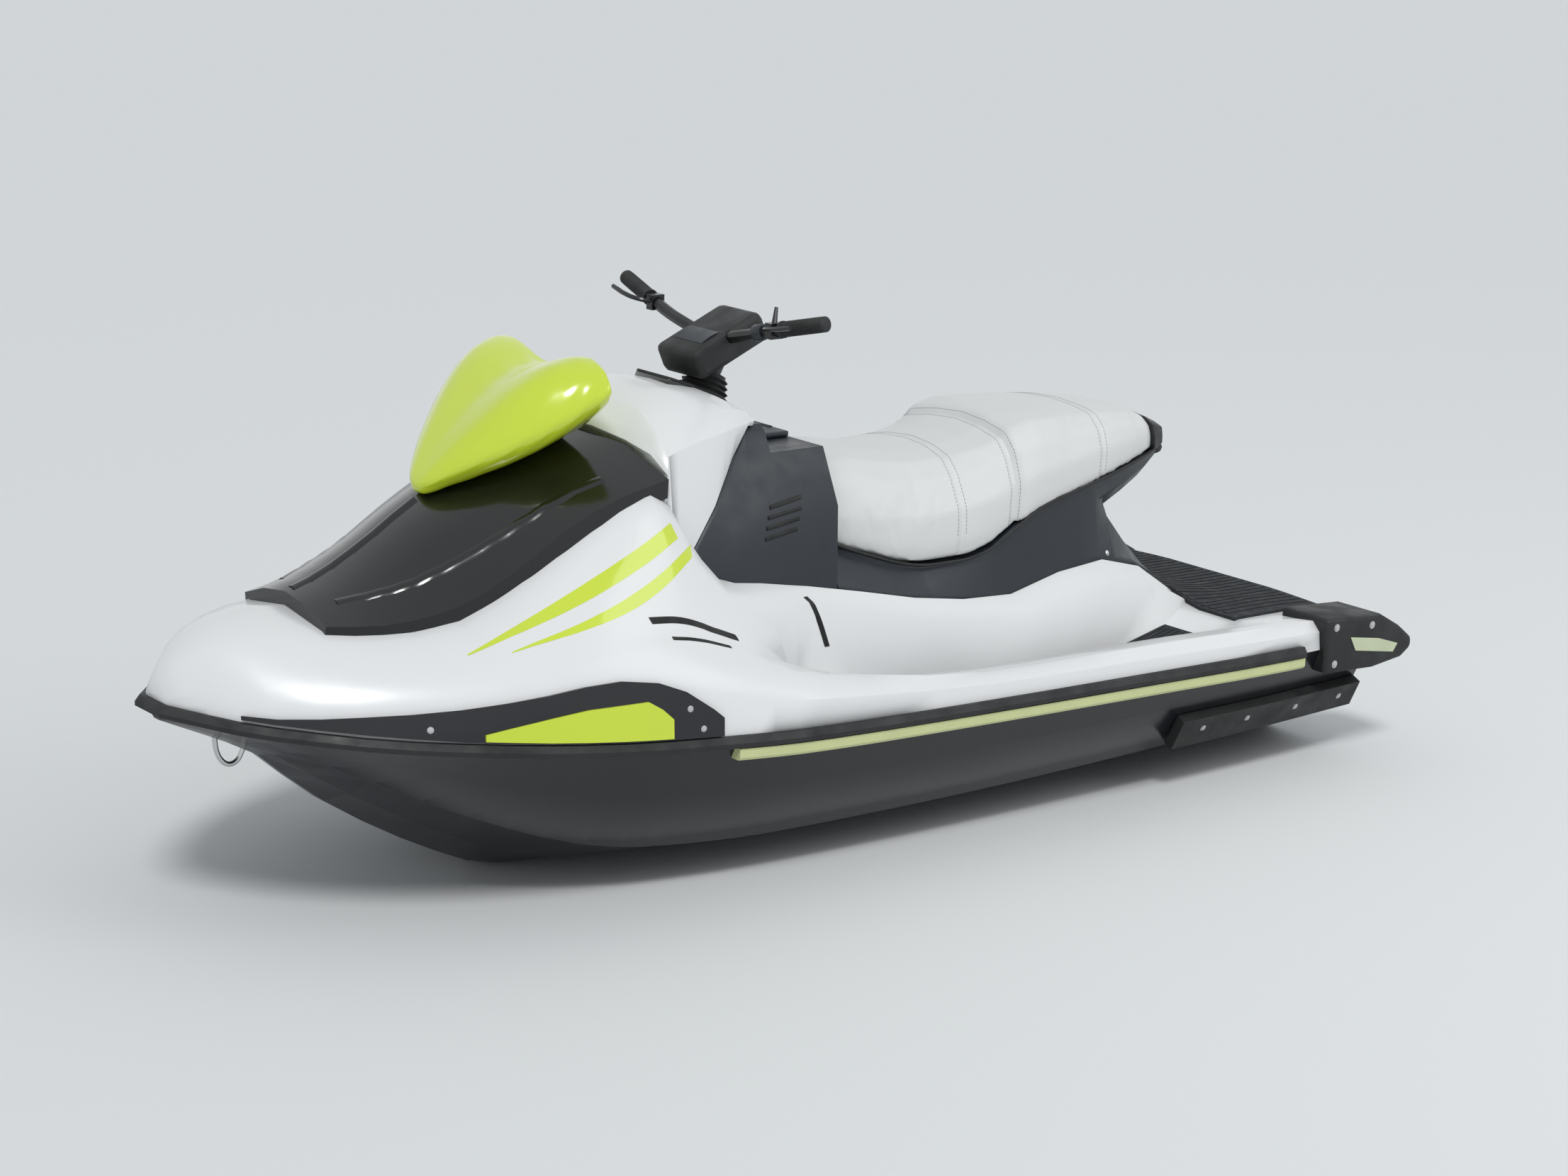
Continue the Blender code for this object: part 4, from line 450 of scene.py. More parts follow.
def new_object(name: str, bm: bmesh.types.BMesh, smooth_deg: float = 35.0) -> bpy.types.Object:
    """Make an object of a bmesh, shaded smooth below an angle, and free the bmesh.

    Args:
        name: Name of the piece.
        bm: Its mesh.
        smooth_deg: Edges sharper than this stay sharp.

    Returns:
        The object, linked to the scene.
    """
    bmesh.ops.recalc_face_normals(bm, faces=bm.faces)
    mesh = bpy.data.meshes.new(name)
    bm.to_mesh(mesh)
    bm.free()
    mesh.shade_smooth()
    mesh.set_sharp_from_angle(angle=math.radians(smooth_deg))
    made = bpy.data.objects.new(name, mesh)
    bpy.context.scene.collection.objects.link(made)
    return made


def applied(obj: bpy.types.Object) -> bpy.types.Object:
    """Replace an object's mesh by what its modifiers make of it.

    Args:
        obj: The object.

    Returns:
        The same object.
    """
    bpy.context.view_layer.update()
    evaluated = obj.evaluated_get(bpy.context.evaluated_depsgraph_get())
    mesh = bpy.data.meshes.new_from_object(evaluated)
    obj.modifiers.clear()
    obj.data = mesh
    return obj


def node_bmesh(node: str) -> bmesh.types.BMesh:
    """Copy a CAD node's mesh, welded and with its flat faces merged.

    Args:
        node: Name of the node.

    Returns:
        The copy.
    """
    bm = bmesh.new()
    bm.from_mesh(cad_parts[node].data)
    bmesh.ops.remove_doubles(bm, verts=bm.verts, dist=WELD)
    bmesh.ops.dissolve_limit(bm, angle_limit=math.radians(FLAT_DEG), verts=bm.verts, edges=bm.edges)
    return bm


def rounded(obj: bpy.types.Object, width: float, segments: int, sharp_deg: float,
            harden: bool = False) -> bpy.types.Object:
    """Round an object's sharp edges.

    Args:
        obj: The object.
        width: Width of the rounding in metres.
        segments: Steps across a rounded edge.
        sharp_deg: Edges sharper than this are rounded.
        harden: Whether the faces beside a rounded edge keep their flat shading.

    Returns:
        The same object.
    """
    bevel = obj.modifiers.new("edges", "BEVEL")
    bevel.width = width
    bevel.segments = segments
    bevel.limit_method = "ANGLE"
    bevel.angle_limit = math.radians(sharp_deg)
    bevel.use_clamp_overlap = True
    bevel.harden_normals = harden
    return applied(obj)


def subdivided(obj: bpy.types.Object, levels: int) -> bpy.types.Object:
    """Subdivide an object into a smooth surface.

    Args:
        obj: The object.
        levels: How many times each face is split.

    Returns:
        The same object.
    """
    obj.modifiers.new("fine", "SUBSURF").levels = levels
    return applied(obj)


def refined(node: str, finish: Finish, body: str, bevel_mm: float = 0.0, sharp_deg: float = 32.0,
            segments: int = 3) -> bpy.types.Object:
    """Make a finer piece of a CAD node: welded, its sharp edges rounded.

    Args:
        node: The node that the piece stands for.
        finish: Its finish.
        body: Body that it rides on.
        bevel_mm: Radius of its edges, or 0 for none.
        sharp_deg: Edges sharper than this are rounded, or else stay sharp.
        segments: Steps across a rounded edge.

    Returns:
        The new piece.
    """
    made = new_object(node + "_finish", node_bmesh(node), sharp_deg)
    if bevel_mm > 0.0:
        rounded(made, bevel_mm * MM, segments, sharp_deg, harden=True)
    return show(made, finish, body, node)


@dataclass
class Studio:
    """Pale floor, soft light and the camera at the photograph's viewing angle."""

    # The camera stands where a camera fitted to the photograph stands, with a longer lens.
    camera_at: Point = (4.37, 5.57, 2.29)
    look_at: Point = (-0.03, 0.0, 0.50)
    roll_deg: float = 1.7
    lens_mm: float = 74.0
    # Pale matt floor.
    floor_half: float = 120.0
    floor_colour: str = "#f1f3f3"
    floor_roughness: float = 0.75
    floor_specular: float = 0.2
    # The world lights the craft; the backdrop is what the camera, gloss and glass see of it.
    world_colour: str = "#e4e9ee"
    backdrop_colour: str = "#eef0f1"
    world_strength: float = 0.50
    sun_from: Point = (3.0, 4.2, 7.0)
    sun_strength: float = 1.25
    sun_spread_deg: float = 14.0
    softbox_at: Point = (-3.0, 5.0, 4.5)
    softbox_size: float = 4.0
    softbox_watts: float = 70.0

    def build_floor(self) -> None:
        """Make the floor and its material."""
        bm = bmesh.new()
        bmesh.ops.create_grid(bm, x_segments=1, y_segments=1, size=self.floor_half)
        floor = new_object("studio_floor", bm)
        made = bpy.data.materials.new("studio_floor_paint")
        made.use_nodes = True
        shader = made.node_tree.nodes["Principled BSDF"]
        shader.inputs["Base Color"].default_value = linear(self.floor_colour)
        shader.inputs["Roughness"].default_value = self.floor_roughness
        shader.inputs["Specular IOR Level"].default_value = self.floor_specular
        floor.data.materials.append(made)

    def aim(self, lamp: bpy.types.Light, place: Point) -> None:
        """Hang a lamp at a place, aimed at the craft.

        Args:
            lamp: The lamp.
            place: Where it hangs.
        """
        holder = bpy.data.objects.new(lamp.name, lamp)
        holder.location = place
        towards = Vector(self.look_at) - Vector(place)
        holder.rotation_euler = towards.to_track_quat("-Z", "Y").to_euler()
        bpy.context.scene.collection.objects.link(holder)

    def build_light(self) -> None:
        """Make an even soft sun, one softbox for highlights, and the world with its backdrop."""
        sun = bpy.data.lights.new("soft_sun", "SUN")
        sun.energy = self.sun_strength
        sun.angle = math.radians(self.sun_spread_deg)
        self.aim(sun, self.sun_from)
        softbox = bpy.data.lights.new("softbox", "AREA")
        softbox.shape = "DISK"
        softbox.size = self.softbox_size
        softbox.energy = self.softbox_watts
        self.aim(softbox, self.softbox_at)
        world = bpy.data.worlds.new("studio_world")
        world.use_nodes = True
        bpy.context.scene.world = world
        tree = world.node_tree
        lit = tree.nodes["Background"]
        lit.inputs["Color"].default_value = linear(self.world_colour)
        lit.inputs["Strength"].default_value = self.world_strength
        seen = add_node(tree, "ShaderNodeBackground", {
            "Color": linear(self.backdrop_colour), "Strength": 1.0})
        path = add_node(tree, "ShaderNodeLightPath")
        direct = add_node(tree, "ShaderNodeMath", {"operation": "MAXIMUM"}, {
            0: path.outputs["Is Camera Ray"], 1: path.outputs["Is Glossy Ray"]})
        any_seen = add_node(tree, "ShaderNodeMath", {"operation": "MAXIMUM"}, {
            0: direct.outputs["Value"], 1: path.outputs["Is Transmission Ray"]})
        mixed = add_node(tree, "ShaderNodeMixShader", {}, {
            0: any_seen.outputs["Value"], 1: lit.outputs["Background"],
            2: seen.outputs["Background"]})
        tree.links.new(mixed.outputs["Shader"], tree.nodes["World Output"].inputs["Surface"])

    def build_camera(self) -> None:
        """Place the camera where the photograph was taken from, with a longer lens."""
        look = (Vector(self.look_at) - Vector(self.camera_at)).normalized()
        across = look.cross(Vector((0.0, 0.0, 1.0))).normalized()
        up = across.cross(look)
        turn = math.radians(self.roll_deg)
        right = math.cos(turn) * across + math.sin(turn) * up
        above = math.cos(turn) * up - math.sin(turn) * across
        lens = bpy.data.cameras.new("studio_camera")
        lens.lens = self.lens_mm
        camera = bpy.data.objects.new("studio_camera", lens)
        matrix = Matrix((right, above, -look)).transposed().to_4x4()
        matrix.translation = Vector(self.camera_at)
        camera.matrix_world = matrix
        bpy.context.scene.collection.objects.link(camera)
        bpy.context.scene.camera = camera

    def build(self) -> None:
        """Make the whole studio."""
        self.build_floor()
        self.build_light()
        self.build_camera()
        bpy.context.scene.view_settings.view_transform = "Standard"


@dataclass
class PlainNodes:
    """Nodes whose CAD shape is right: they are welded, rounded and finished."""

    # Each row gives a node, its finish, its body and the radius of its edges in millimetres.
    rows: list[tuple[str, Finish, str, float]] = field(default_factory=lambda: [
        ("hull", BLACK_GELCOAT, "craft", 0.0),
        ("deck", WHITE_GELCOAT, "craft", 0.0),
        ("rub_rail", RUBBER, "craft", 3.0),
        ("bow_shoulder_left", BLACK_GELCOAT, "craft", 2.0),
        ("bow_shoulder_right", BLACK_GELCOAT, "craft", 2.0),
        ("accent_left", LIME_PAINT, "craft", 1.0),
        ("accent_right", LIME_PAINT, "craft", 1.0),
        ("side_stripe_left", PALE_TRIM, "craft", 2.0),
        ("side_stripe_right", PALE_TRIM, "craft", 2.0),
        ("bumper_inset_left", PALE_INLAY, "craft", 1.0),
        ("bumper_inset_right", PALE_INLAY, "craft", 1.0),
        ("sponson_left", RUBBER, "craft", 5.0),
        ("sponson_right", RUBBER, "craft", 5.0),
        ("stern_bumper_left", RUBBER, "craft", 0.0),
        ("stern_bumper_right", RUBBER, "craft", 0.0),
        ("console", PLASTIC, "craft", 4.0),
        ("steering_cowl", WHITE_GELCOAT, "craft", 2.5),
        ("seat_base", PLASTIC, "craft", 4.0),
        ("grab_handle", RUBBER, "craft", 0.0),
        ("foot_mat_left", FOAM, "craft", 0.0),
        ("foot_mat_right", FOAM, "craft", 0.0),
        ("rear_mat", FOAM, "craft", 0.0),
        ("hood", HOOD_PAINT, "hood", 0.0),
        ("mirror_glass_left", MIRROR, "hood", 0.0),
        ("mirror_glass_right", MIRROR, "hood", 0.0),
        ("glovebox_lid", PLASTIC, "glovebox_lid", 0.0),
        ("gauge", DISPLAY, "craft", 0.0),
        ("steering_column", PLASTIC, "steering", 0.0),
        ("handlebar", POWDER_COAT, "steering", 0.0),
        ("bar_pad", RUBBER, "steering", 0.0),
        ("reverse_lever", BLACK_GELCOAT, "steering", 1.5),
        ("throttle_lever", BLACK_GELCOAT, "steering", 1.5),
        ("drain_plug_left", RUBBER, "craft", 2.0),
        ("drain_plug_right", RUBBER, "craft", 2.0),
        ("intake_grate", ALUMINIUM, "craft", 1.5),
        ("ride_plate", ALUMINIUM, "craft", 1.5),
        ("pump_housing", ALUMINIUM, "craft", 0.0),
        ("jet_nozzle", ALUMINIUM, "nozzle", 0.0),
        ("reverse_bucket", ALUMINIUM, "bucket", 1.0),
        ("impeller", STAINLESS, "impeller", 0.0),
        ("engine", ENGINE, "craft", 0.0)])
    # These nodes' undersides, where the faces' normals point below this Z, are shaded flat.
    flat_below: tuple[str, ...] = ("hood",)
    underside_z: float = -0.10

    def build(self) -> None:
        """Make a finished piece of each node."""
        for node, finish, body, bevel_mm in self.rows:
            made = refined(node, finish, body, bevel_mm)
            if node in self.flat_below:
                for polygon in made.data.polygons:
                    polygon.use_smooth = polygon.normal.z > self.underside_z


def surface_of(*nodes: str) -> BVHTree:
    """Make a search tree of CAD nodes' meshes, for laying things on their surfaces.

    Args:
        nodes: Names of the nodes.

    Returns:
        The search tree.
    """
    points: list[Vector] = []
    faces: list[tuple[int, ...]] = []
    for node in nodes:
        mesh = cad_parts[node].data
        start = len(points)
        points.extend(vertex.co.copy() for vertex in mesh.vertices)
        faces.extend(tuple(start + index for index in polygon.vertices)
                     for polygon in mesh.polygons)
    return BVHTree.FromPolygons(points, faces)


def smooth_line(points: list[Point], count: int) -> list[Vector]:
    """Round a polyline's corners and return evenly spaced points on it.

    Args:
        points: Its corners.
        count: Number of points wanted.

    Returns:
        The points, the first and last corner among them.
    """
    line = [np.array(point, dtype=float) for point in points]
    for _ in range(CORNER_CUTS):
        cut_line = [line[0]]
        for low, high in zip(line, line[1:]):
            cut_line += [0.75 * low + 0.25 * high, 0.25 * low + 0.75 * high]
        line = cut_line + [line[-1]]
    stack = np.array(line)
    reach = np.concatenate([[0.0], np.cumsum(np.linalg.norm(np.diff(stack, axis=0), axis=1))])
    wanted = np.linspace(0.0, reach[-1], count)
    return [Vector([float(np.interp(at, reach, stack[:, axis])) for axis in range(3)])
            for at in wanted]


@dataclass(frozen=True)
class Strip:
    """A closed strip laid on a surface, between two edges as seen along one direction."""

    edge_a: tuple[Point, ...]
    edge_b: tuple[Point, ...]
    towards: Point
    # How far its top stands out of the surface and its bottom lies in it.
    height_mm: float = 0.8
    sink_mm: float = 1.5
    # Steps along it and across it.
    steps: int = 30
    rows: int = 4
    # Share of the height that is lost towards its two edges.
    crown: float = 0.0

    def grids(self, bm: bmesh.types.BMesh, surface: BVHTree, sign: int) -> tuple[list, list]:
        """Add the strip's points to a mesh.

        Args:
            bm: Mesh that gets them.
            surface: Surface that the strip lies on.
            sign: 1 for port, -1 for starboard.

        Returns:
            Rows of points of its top, and of its bottom.
        """
        towards = Vector((self.towards[0], sign * self.towards[1], self.towards[2])).normalized()
        tops, bottoms = [], []
        edges = zip(smooth_line(list(self.edge_a), self.steps + 1),
                    smooth_line(list(self.edge_b), self.steps + 1))
        for a, b in edges:
            top_row, bottom_row = [], []
            for row in range(self.rows + 1):
                share = row / self.rows
                spot = a.lerp(b, share)
                spot.y *= sign
                hit, normal, _, _ = surface.ray_cast(spot - RAY_BACK * towards, towards, RAY_REACH)
                if hit is None:
                    hit, normal, _, _ = surface.find_nearest(spot)
                if normal.dot(towards) > 0.0:
                    normal = -normal
                height = self.height_mm * (1.0 - self.crown * (2.0 * share - 1.0) ** 2) * MM
                top_row.append(bm.verts.new(hit + height * normal))
                bottom_row.append(bm.verts.new(hit - self.sink_mm * MM * normal))
            tops.append(top_row)
            bottoms.append(bottom_row)
        return tops, bottoms

    def lay(self, bm: bmesh.types.BMesh, surface: BVHTree, sign: int = 1) -> None:
        """Add the strip to a mesh.

        Args:
            bm: Mesh that gets it.
            surface: Surface that it lies on.
            sign: 1 for port, -1 for starboard.
        """
        tops, bottoms = self.grids(bm, surface, sign)
        for grid in (tops, [line[::-1] for line in bottoms]):
            for line, after in zip(grid, grid[1:]):
                for k in range(self.rows):
                    bm.faces.new((line[k], line[k + 1], after[k + 1], after[k]))
        for k in range(self.rows):
            bm.faces.new((tops[0][k], bottoms[0][k], bottoms[0][k + 1], tops[0][k + 1]))
            bm.faces.new((tops[-1][k], tops[-1][k + 1], bottoms[-1][k + 1], bottoms[-1][k]))
        for k in range(self.steps):
            bm.faces.new((tops[k][0], tops[k + 1][0], bottoms[k + 1][0], bottoms[k][0]))
            bm.faces.new((tops[k][-1], bottoms[k][-1], bottoms[k + 1][-1], tops[k + 1][-1]))


def laid(name: str, strips: list[Strip], surface: BVHTree, finish: Finish, body: str,
         sides: tuple[Side, ...] = (Side.LEFT,), like: bpy.types.Object | None = None,
         smooth_deg: float = 40.0) -> bpy.types.Object:
    """Make one piece of strips on a surface.

    Args:
        name: Name of the piece.
        strips: Its strips, as they lie on port.
        surface: Surface that they lie on.
        finish: Its finish.
        body: Body that it rides on.
        sides: Sides that get them.
        like: Piece whose smooth shading it takes over, as paint does, or None.
        smooth_deg: Edges sharper than this stay sharp.

    Returns:
        The piece.
    """
    bm = bmesh.new()
    for side in sides:
        for strip in strips:
            strip.lay(bm, surface, side.value)
    made = new_object(name, bm, smooth_deg)
    if like is not None:
        shading = made.modifiers.new("shading", "DATA_TRANSFER")
        shading.object = like
        shading.use_loop_data = True
        shading.data_types_loops = {"CUSTOM_NORMAL"}
        shading.loop_mapping = "POLYINTERP_NEAREST"
        applied(made)
    return show(made, finish, body)


@dataclass
class Seat:
    """Three-place seat: foam in marine vinyl, swelled as cloth, with steps and sewn channels."""

    # The cushion's mesh starts even, softened and this much smaller than its solid.
    voxel_mm: float = 9.0
    soften_rounds: int = 4
    shrink_mm: float = 5.0
    # It is then blown up as cloth, and no point moves further than the cap.
    pressure: float = 4.0
    cloth_quality: int = 4
    last_frame: int = 20
    cap_mm: float = 8.0
    # The passenger's part rises at this X over this width, and fades out towards the tail.
    step_x: float = -0.548
    step_mm: float = 13.0
    step_width: float = 0.018
    step_bow: float = 0.016
    step_slope: float = 4.0
    step_fade: float = 0.45
    # Each sewn channel's X in the middle, how far it bows forward at the sides, its depth in mm.
    channels: tuple[Point, ...] = (
        (-0.385, 0.024, 4.0), (-0.534, 0.016, 6.5), (-0.830, 0.014, 3.5))
    channel_width: float = 0.007
    # Lines across the seat reach their full bow at this distance from the middle.
    bow_half: float = 0.2
    # Points whose normals go below this Z are the underside, without step or channels.
    underside_z: float = -0.6
    # No point of the cushion rises further than this above its solid.
    headroom: float = 0.010
    # The tail cap covers what lies behind a leaning plane, and the cushion sinks under it.
    tail_x: float = -1.040
    tail_z: float = 0.75
    tail_lean: float = 0.25
    tail_sink_mm: float = 16.0
    tail_proud: float = 0.004
    tail_edge: float = 0.006
    tail_sharp_deg: float = 28.0
    # Stitches, in two rows beside each channel, round the section from its middle.
    stitch_pitch: float = 0.0085
    stitch_length: float = 0.0055
    stitch_radius: float = 0.0008
    stitch_offset: float = 0.012
    stitch_reach_deg: int = 104
    section_centre_z: float = 0.68
    section_reach: float = 0.6
    # Black welt along the lower edges.
    welt_radius: float = 0.0035
    welt_out: float = 0.002
    welt_up: float = 0.004
    welt_points: int = 90

    def cushion_mesh(self) -> bpy.types.Object:
        """Make the cushion as a fine even mesh, slightly smaller than its CAD solid.

        Returns:
            The cushion.
        """
        cushion = new_object("seat_cushion", node_bmesh("seat"), 180.0)
        remesh = cushion.modifiers.new("even", "REMESH")
        remesh.mode = "VOXEL"
        remesh.voxel_size = self.voxel_mm * MM
        smooth = cushion.modifiers.new("soften", "SMOOTH")
        smooth.iterations = self.soften_rounds
        applied(cushion)
        for vertex, normal in [(v, v.normal.copy()) for v in cushion.data.vertices]:
            vertex.co -= self.shrink_mm * MM * normal
        return cushion

    def swell(self, cushion: bpy.types.Object) -> None:
        """Blow the cushion up as cloth, cap each point's move and apply the result.

        Args:
            cushion: The cushion.
        """
        start = [vertex.co.copy() for vertex in cushion.data.vertices]
        cloth = cushion.modifiers.new("swell", "CLOTH")
        cloth.settings.quality = self.cloth_quality
        cloth.settings.use_pressure = True
        cloth.settings.uniform_pressure_force = self.pressure
        cloth.settings.effector_weights.gravity = 0.0
        cloth.collision_settings.use_collision = False
        cloth.point_cache.frame_start = 1
        cloth.point_cache.frame_end = self.last_frame
        scene = bpy.context.scene
        for number in range(1, self.last_frame + 1):
            scene.frame_set(number)
        applied(cushion)
        scene.frame_set(1)
        cap = self.cap_mm * MM
        for vertex, was in zip(cushion.data.vertices, start):
            move = vertex.co - was
            if move.length > cap:
                vertex.co = was + cap * move.normalized()

    def sewn_move(self, vertex: bpy.types.MeshVertex, rear_x: float) -> Vector:
        """Work out how the step, the channels and the tail cap move a point.

        Args:
            vertex: The point.
            rear_x: X of the seat's rear end.

        Returns:
            Its move.
        """
        x, y, z = vertex.co
        across = min(1.0, abs(y) / self.bow_half)
        depth = rise = 0.0
        if vertex.normal.z >= self.underside_z:
            for at_x, bow, channel_mm in self.channels:
                away = (x - at_x - bow * across) / self.channel_width
                depth -= channel_mm * math.exp(-away * away)
            step = (self.step_x + self.step_bow * across - x) / self.step_width
            fade = max(0.0, min(1.0, (x - rear_x) / self.step_fade))
            rise = self.step_mm / (1.0 + math.exp(-self.step_slope * step)) * fade
        if x < self.tail_x + self.tail_lean * (z - self.tail_z):
            depth -= self.tail_sink_mm
        return (depth + rise) * MM * vertex.normal

    def sew(self, cushion: bpy.types.Object) -> None:
        """Raise the passenger's step, press the channels in and sink the tail.

        Args:
            cushion: The cushion.
        """
        subdivided(cushion, 1)
        low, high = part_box("seat")
        vertices = cushion.data.vertices
        moves = [self.sewn_move(vertex, low[0]) for vertex in vertices]
        for vertex, move in zip(vertices, moves):
            vertex.co += move
            vertex.co.z = min(vertex.co.z, high[2] + self.headroom)

    def lower_edge(self) -> list[Vector]:
        """Find the port lower edge of the CAD cushion.

        Returns:
            Its points, from bow to stern.
        """
        rows: dict[float, list[Vector]] = {}
        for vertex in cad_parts["seat"].data.vertices:
            rows.setdefault(round(vertex.co.x, 3), []).append(vertex.co.copy())
        edge = []
        for x in sorted(rows, reverse=True):
            lowest = min(point.z for point in rows[x])
            edge.append(max((point for point in rows[x] if point.z < lowest + 2.0 * MM),
                            key=lambda point: point.y))
        return edge

    def piping(self) -> None:
        """Make the black welt along both lower edges of the cushion."""
        line = smooth_line([(point.x, point.y + self.welt_out, point.z + self.welt_up)
                            for point in self.lower_edge()], self.welt_points)
        bm = bmesh.new()
        for side in Side:
            tube_mesh(bm, [Vector((p.x, side.value * p.y, p.z)) for p in line], self.welt_radius, 8)
        show(new_object("seat_piping", bm, 60.0), RUBBER, "craft")

    def tail_cap(self) -> None:
        """Make the black moulded cap over the cushion's tail."""
        bm = node_bmesh("seat")
        cut_off = bmesh.ops.bisect_plane(
            bm, geom=bm.verts[:] + bm.edges[:] + bm.faces[:], clear_outer=True,
            plane_co=(self.tail_x, 0.0, self.tail_z), plane_no=(1.0, 0.0, -self.tail_lean))
        rim = [item for item in cut_off["geom_cut"] if isinstance(item, bmesh.types.BMEdge)]
        bmesh.ops.edgeloop_fill(bm, edges=rim)
        bmesh.ops.recalc_face_normals(bm, faces=bm.faces)
        for vertex, normal in [(v, v.normal.copy()) for v in bm.verts]:
            vertex.co += self.tail_proud * normal
        cap = rounded(new_object("seat_tail_cap", bm), self.tail_edge, 4, self.tail_sharp_deg)
        show(cap, RUBBER, "craft")

    def section_point(self, surface: BVHTree, at_x: float, bow: float,
                      angle: float) -> Vector | None:
        """Find the cushion's point beside a channel, at an angle round its section.

        Args:
            surface: The cushion's surface.
            at_x: X of the line in the middle.
            bow: How far the line bows forward at the sides.
            angle: Angle from straight up, in radians.

        Returns:
            The point, or None where there is none.
        """
        x = at_x
        away = Vector((0.0, math.sin(angle), math.cos(angle)))
        for _ in range(2):
            middle = Vector((x, 0.0, self.section_centre_z))
            hit = surface.ray_cast(middle + self.section_reach * away, -away, self.section_reach)[0]
            if hit is None:
                return None
            x = at_x + bow * min(1.0, abs(hit.y) / self.bow_half)
        return hit

    def stitching(self, cushion: bpy.types.Object) -> None:
        """Sew two rows of stitches beside each channel.

        Args:
            cushion: The finished cushion.
        """
        mesh = cushion.data
        surface = BVHTree.FromPolygons([vertex.co.copy() for vertex in mesh.vertices],
                                       [tuple(polygon.vertices) for polygon in mesh.polygons])
        reach_deg = self.stitch_reach_deg
        angles = np.linspace(-reach_deg, reach_deg, 2 * reach_deg + 1)
        bm = bmesh.new()
        for at_x, bow, _ in self.channels:
            for offset in (-self.stitch_offset, self.stitch_offset):
                points = [self.section_point(surface, at_x + offset, bow, math.radians(angle))
                          for angle in angles]
                line = [point for point in points if point is not None]
                reach = np.concatenate([[0.0], np.cumsum([(b - a).length
                                                          for a, b in zip(line, line[1:])])])
                for start in np.arange(self.stitch_pitch, reach[-1] - self.stitch_pitch,
                                       self.stitch_pitch):
                    ends = [Vector([float(np.interp(at, reach, [point[axis] for point in line]))
                                    for axis in range(3)])
                            for at in (start, start + self.stitch_length)]
                    tube_mesh(bm, ends, self.stitch_radius, 6)
        show(new_object("seat_stitches", bm, 60.0), THREAD, "craft")

    def build(self) -> None:
        """Make the cushion, its stitches, its piping and its tail cap."""
        cushion = self.cushion_mesh()
        self.swell(cushion)
        self.sew(cushion)
        cushion.data.shade_smooth()
        show(cushion, VINYL, "craft", "seat")
        self.stitching(cushion)
        self.piping()
        self.tail_cap()


def side_of(run: Vector) -> Vector:
    """Return a direction square to a run, of any length."""
    return run.cross(Vector((0.0, 0.0, 1.0)) if abs(run.z) < STEEP else Vector((1.0, 0.0, 0.0)))


def ring_of(bm: bmesh.types.BMesh, middle: Vector, run: Vector, across: Vector, radius: float,
            sides: int) -> list[bmesh.types.BMVert]:
    """Add a ring of points to a mesh.

    Args:
        bm: Mesh that gets it.
        middle: Its middle.
        run: Its axis, of length 1.
        across: Direction of its first point, of length 1.
        radius: Its radius in metres.
        sides: Number of its points.

    Returns:
        Its points.
    """
    up = run.cross(across)
    return [bm.verts.new(middle + radius * (math.cos(FULL_TURN * k / sides) * across
                                            + math.sin(FULL_TURN * k / sides) * up))
            for k in range(sides)]


def skin(bm: bmesh.types.BMesh, rings: list[list[bmesh.types.BMVert]]) -> None:
    """Join rings of points by faces and close both ends.

    Args:
        bm: Mesh that holds the rings.
        rings: The rings, in order.
    """
    sides = len(rings[0])
    for ring, after in zip(rings, rings[1:]):
        for k in range(sides):
            bm.faces.new((ring[k], ring[(k + 1) % sides], after[(k + 1) % sides], after[k]))
    bm.faces.new(rings[0][::-1])
    bm.faces.new(rings[-1])


def tube_mesh(bm: bmesh.types.BMesh, line: list[Vector], radius: float, sides: int) -> None:
    """Add a round tube with closed ends along a line to a mesh.

    Args:
        bm: Mesh that gets it.
        line: Points along its middle.
        radius: Its radius in metres.
        sides: Number of its sides.
    """
    rings = []
    across = None
    for index, point in enumerate(line):
        run = (line[min(index + 1, len(line) - 1)] - line[max(index - 1, 0)]).normalized()
        if across is None:
            across = side_of(run)
        across = (across - across.dot(run) * run).normalized()
        rings.append(ring_of(bm, point, run, across, radius, sides))
    skin(bm, rings)


def turned(bm: bmesh.types.BMesh, start: Vector, axis: Vector, profile: list[Pair],
           sides: int) -> None:
    """Add a closed turned form to a mesh.

    Args:
        bm: Mesh that gets it.
        start: Where its axis starts.
        axis: Direction of its axis.
        profile: Its (distance along the axis, radius) points, in metres.
        sides: Number of its sides.
    """
    run = axis.normalized()
    across = side_of(run).normalized()
    skin(bm, [ring_of(bm, start + reach * run, run, across, radius, sides)
              for reach, radius in profile])


def band(points: tuple[Point, ...], width: float,
         across: Point) -> tuple[tuple[Point, ...], tuple[Point, ...]]:
    """Work out the two edges of a band of even width along a line.

    Args:
        points: Its middle line.
        width: Its width in metres.
        across: Direction of its width.

    Returns:
        Both edges.
    """
    half = 0.5 * width * Vector(across).normalized()
    return (tuple(tuple(Vector(point) + half) for point in points),
            tuple(tuple(Vector(point) - half) for point in points))


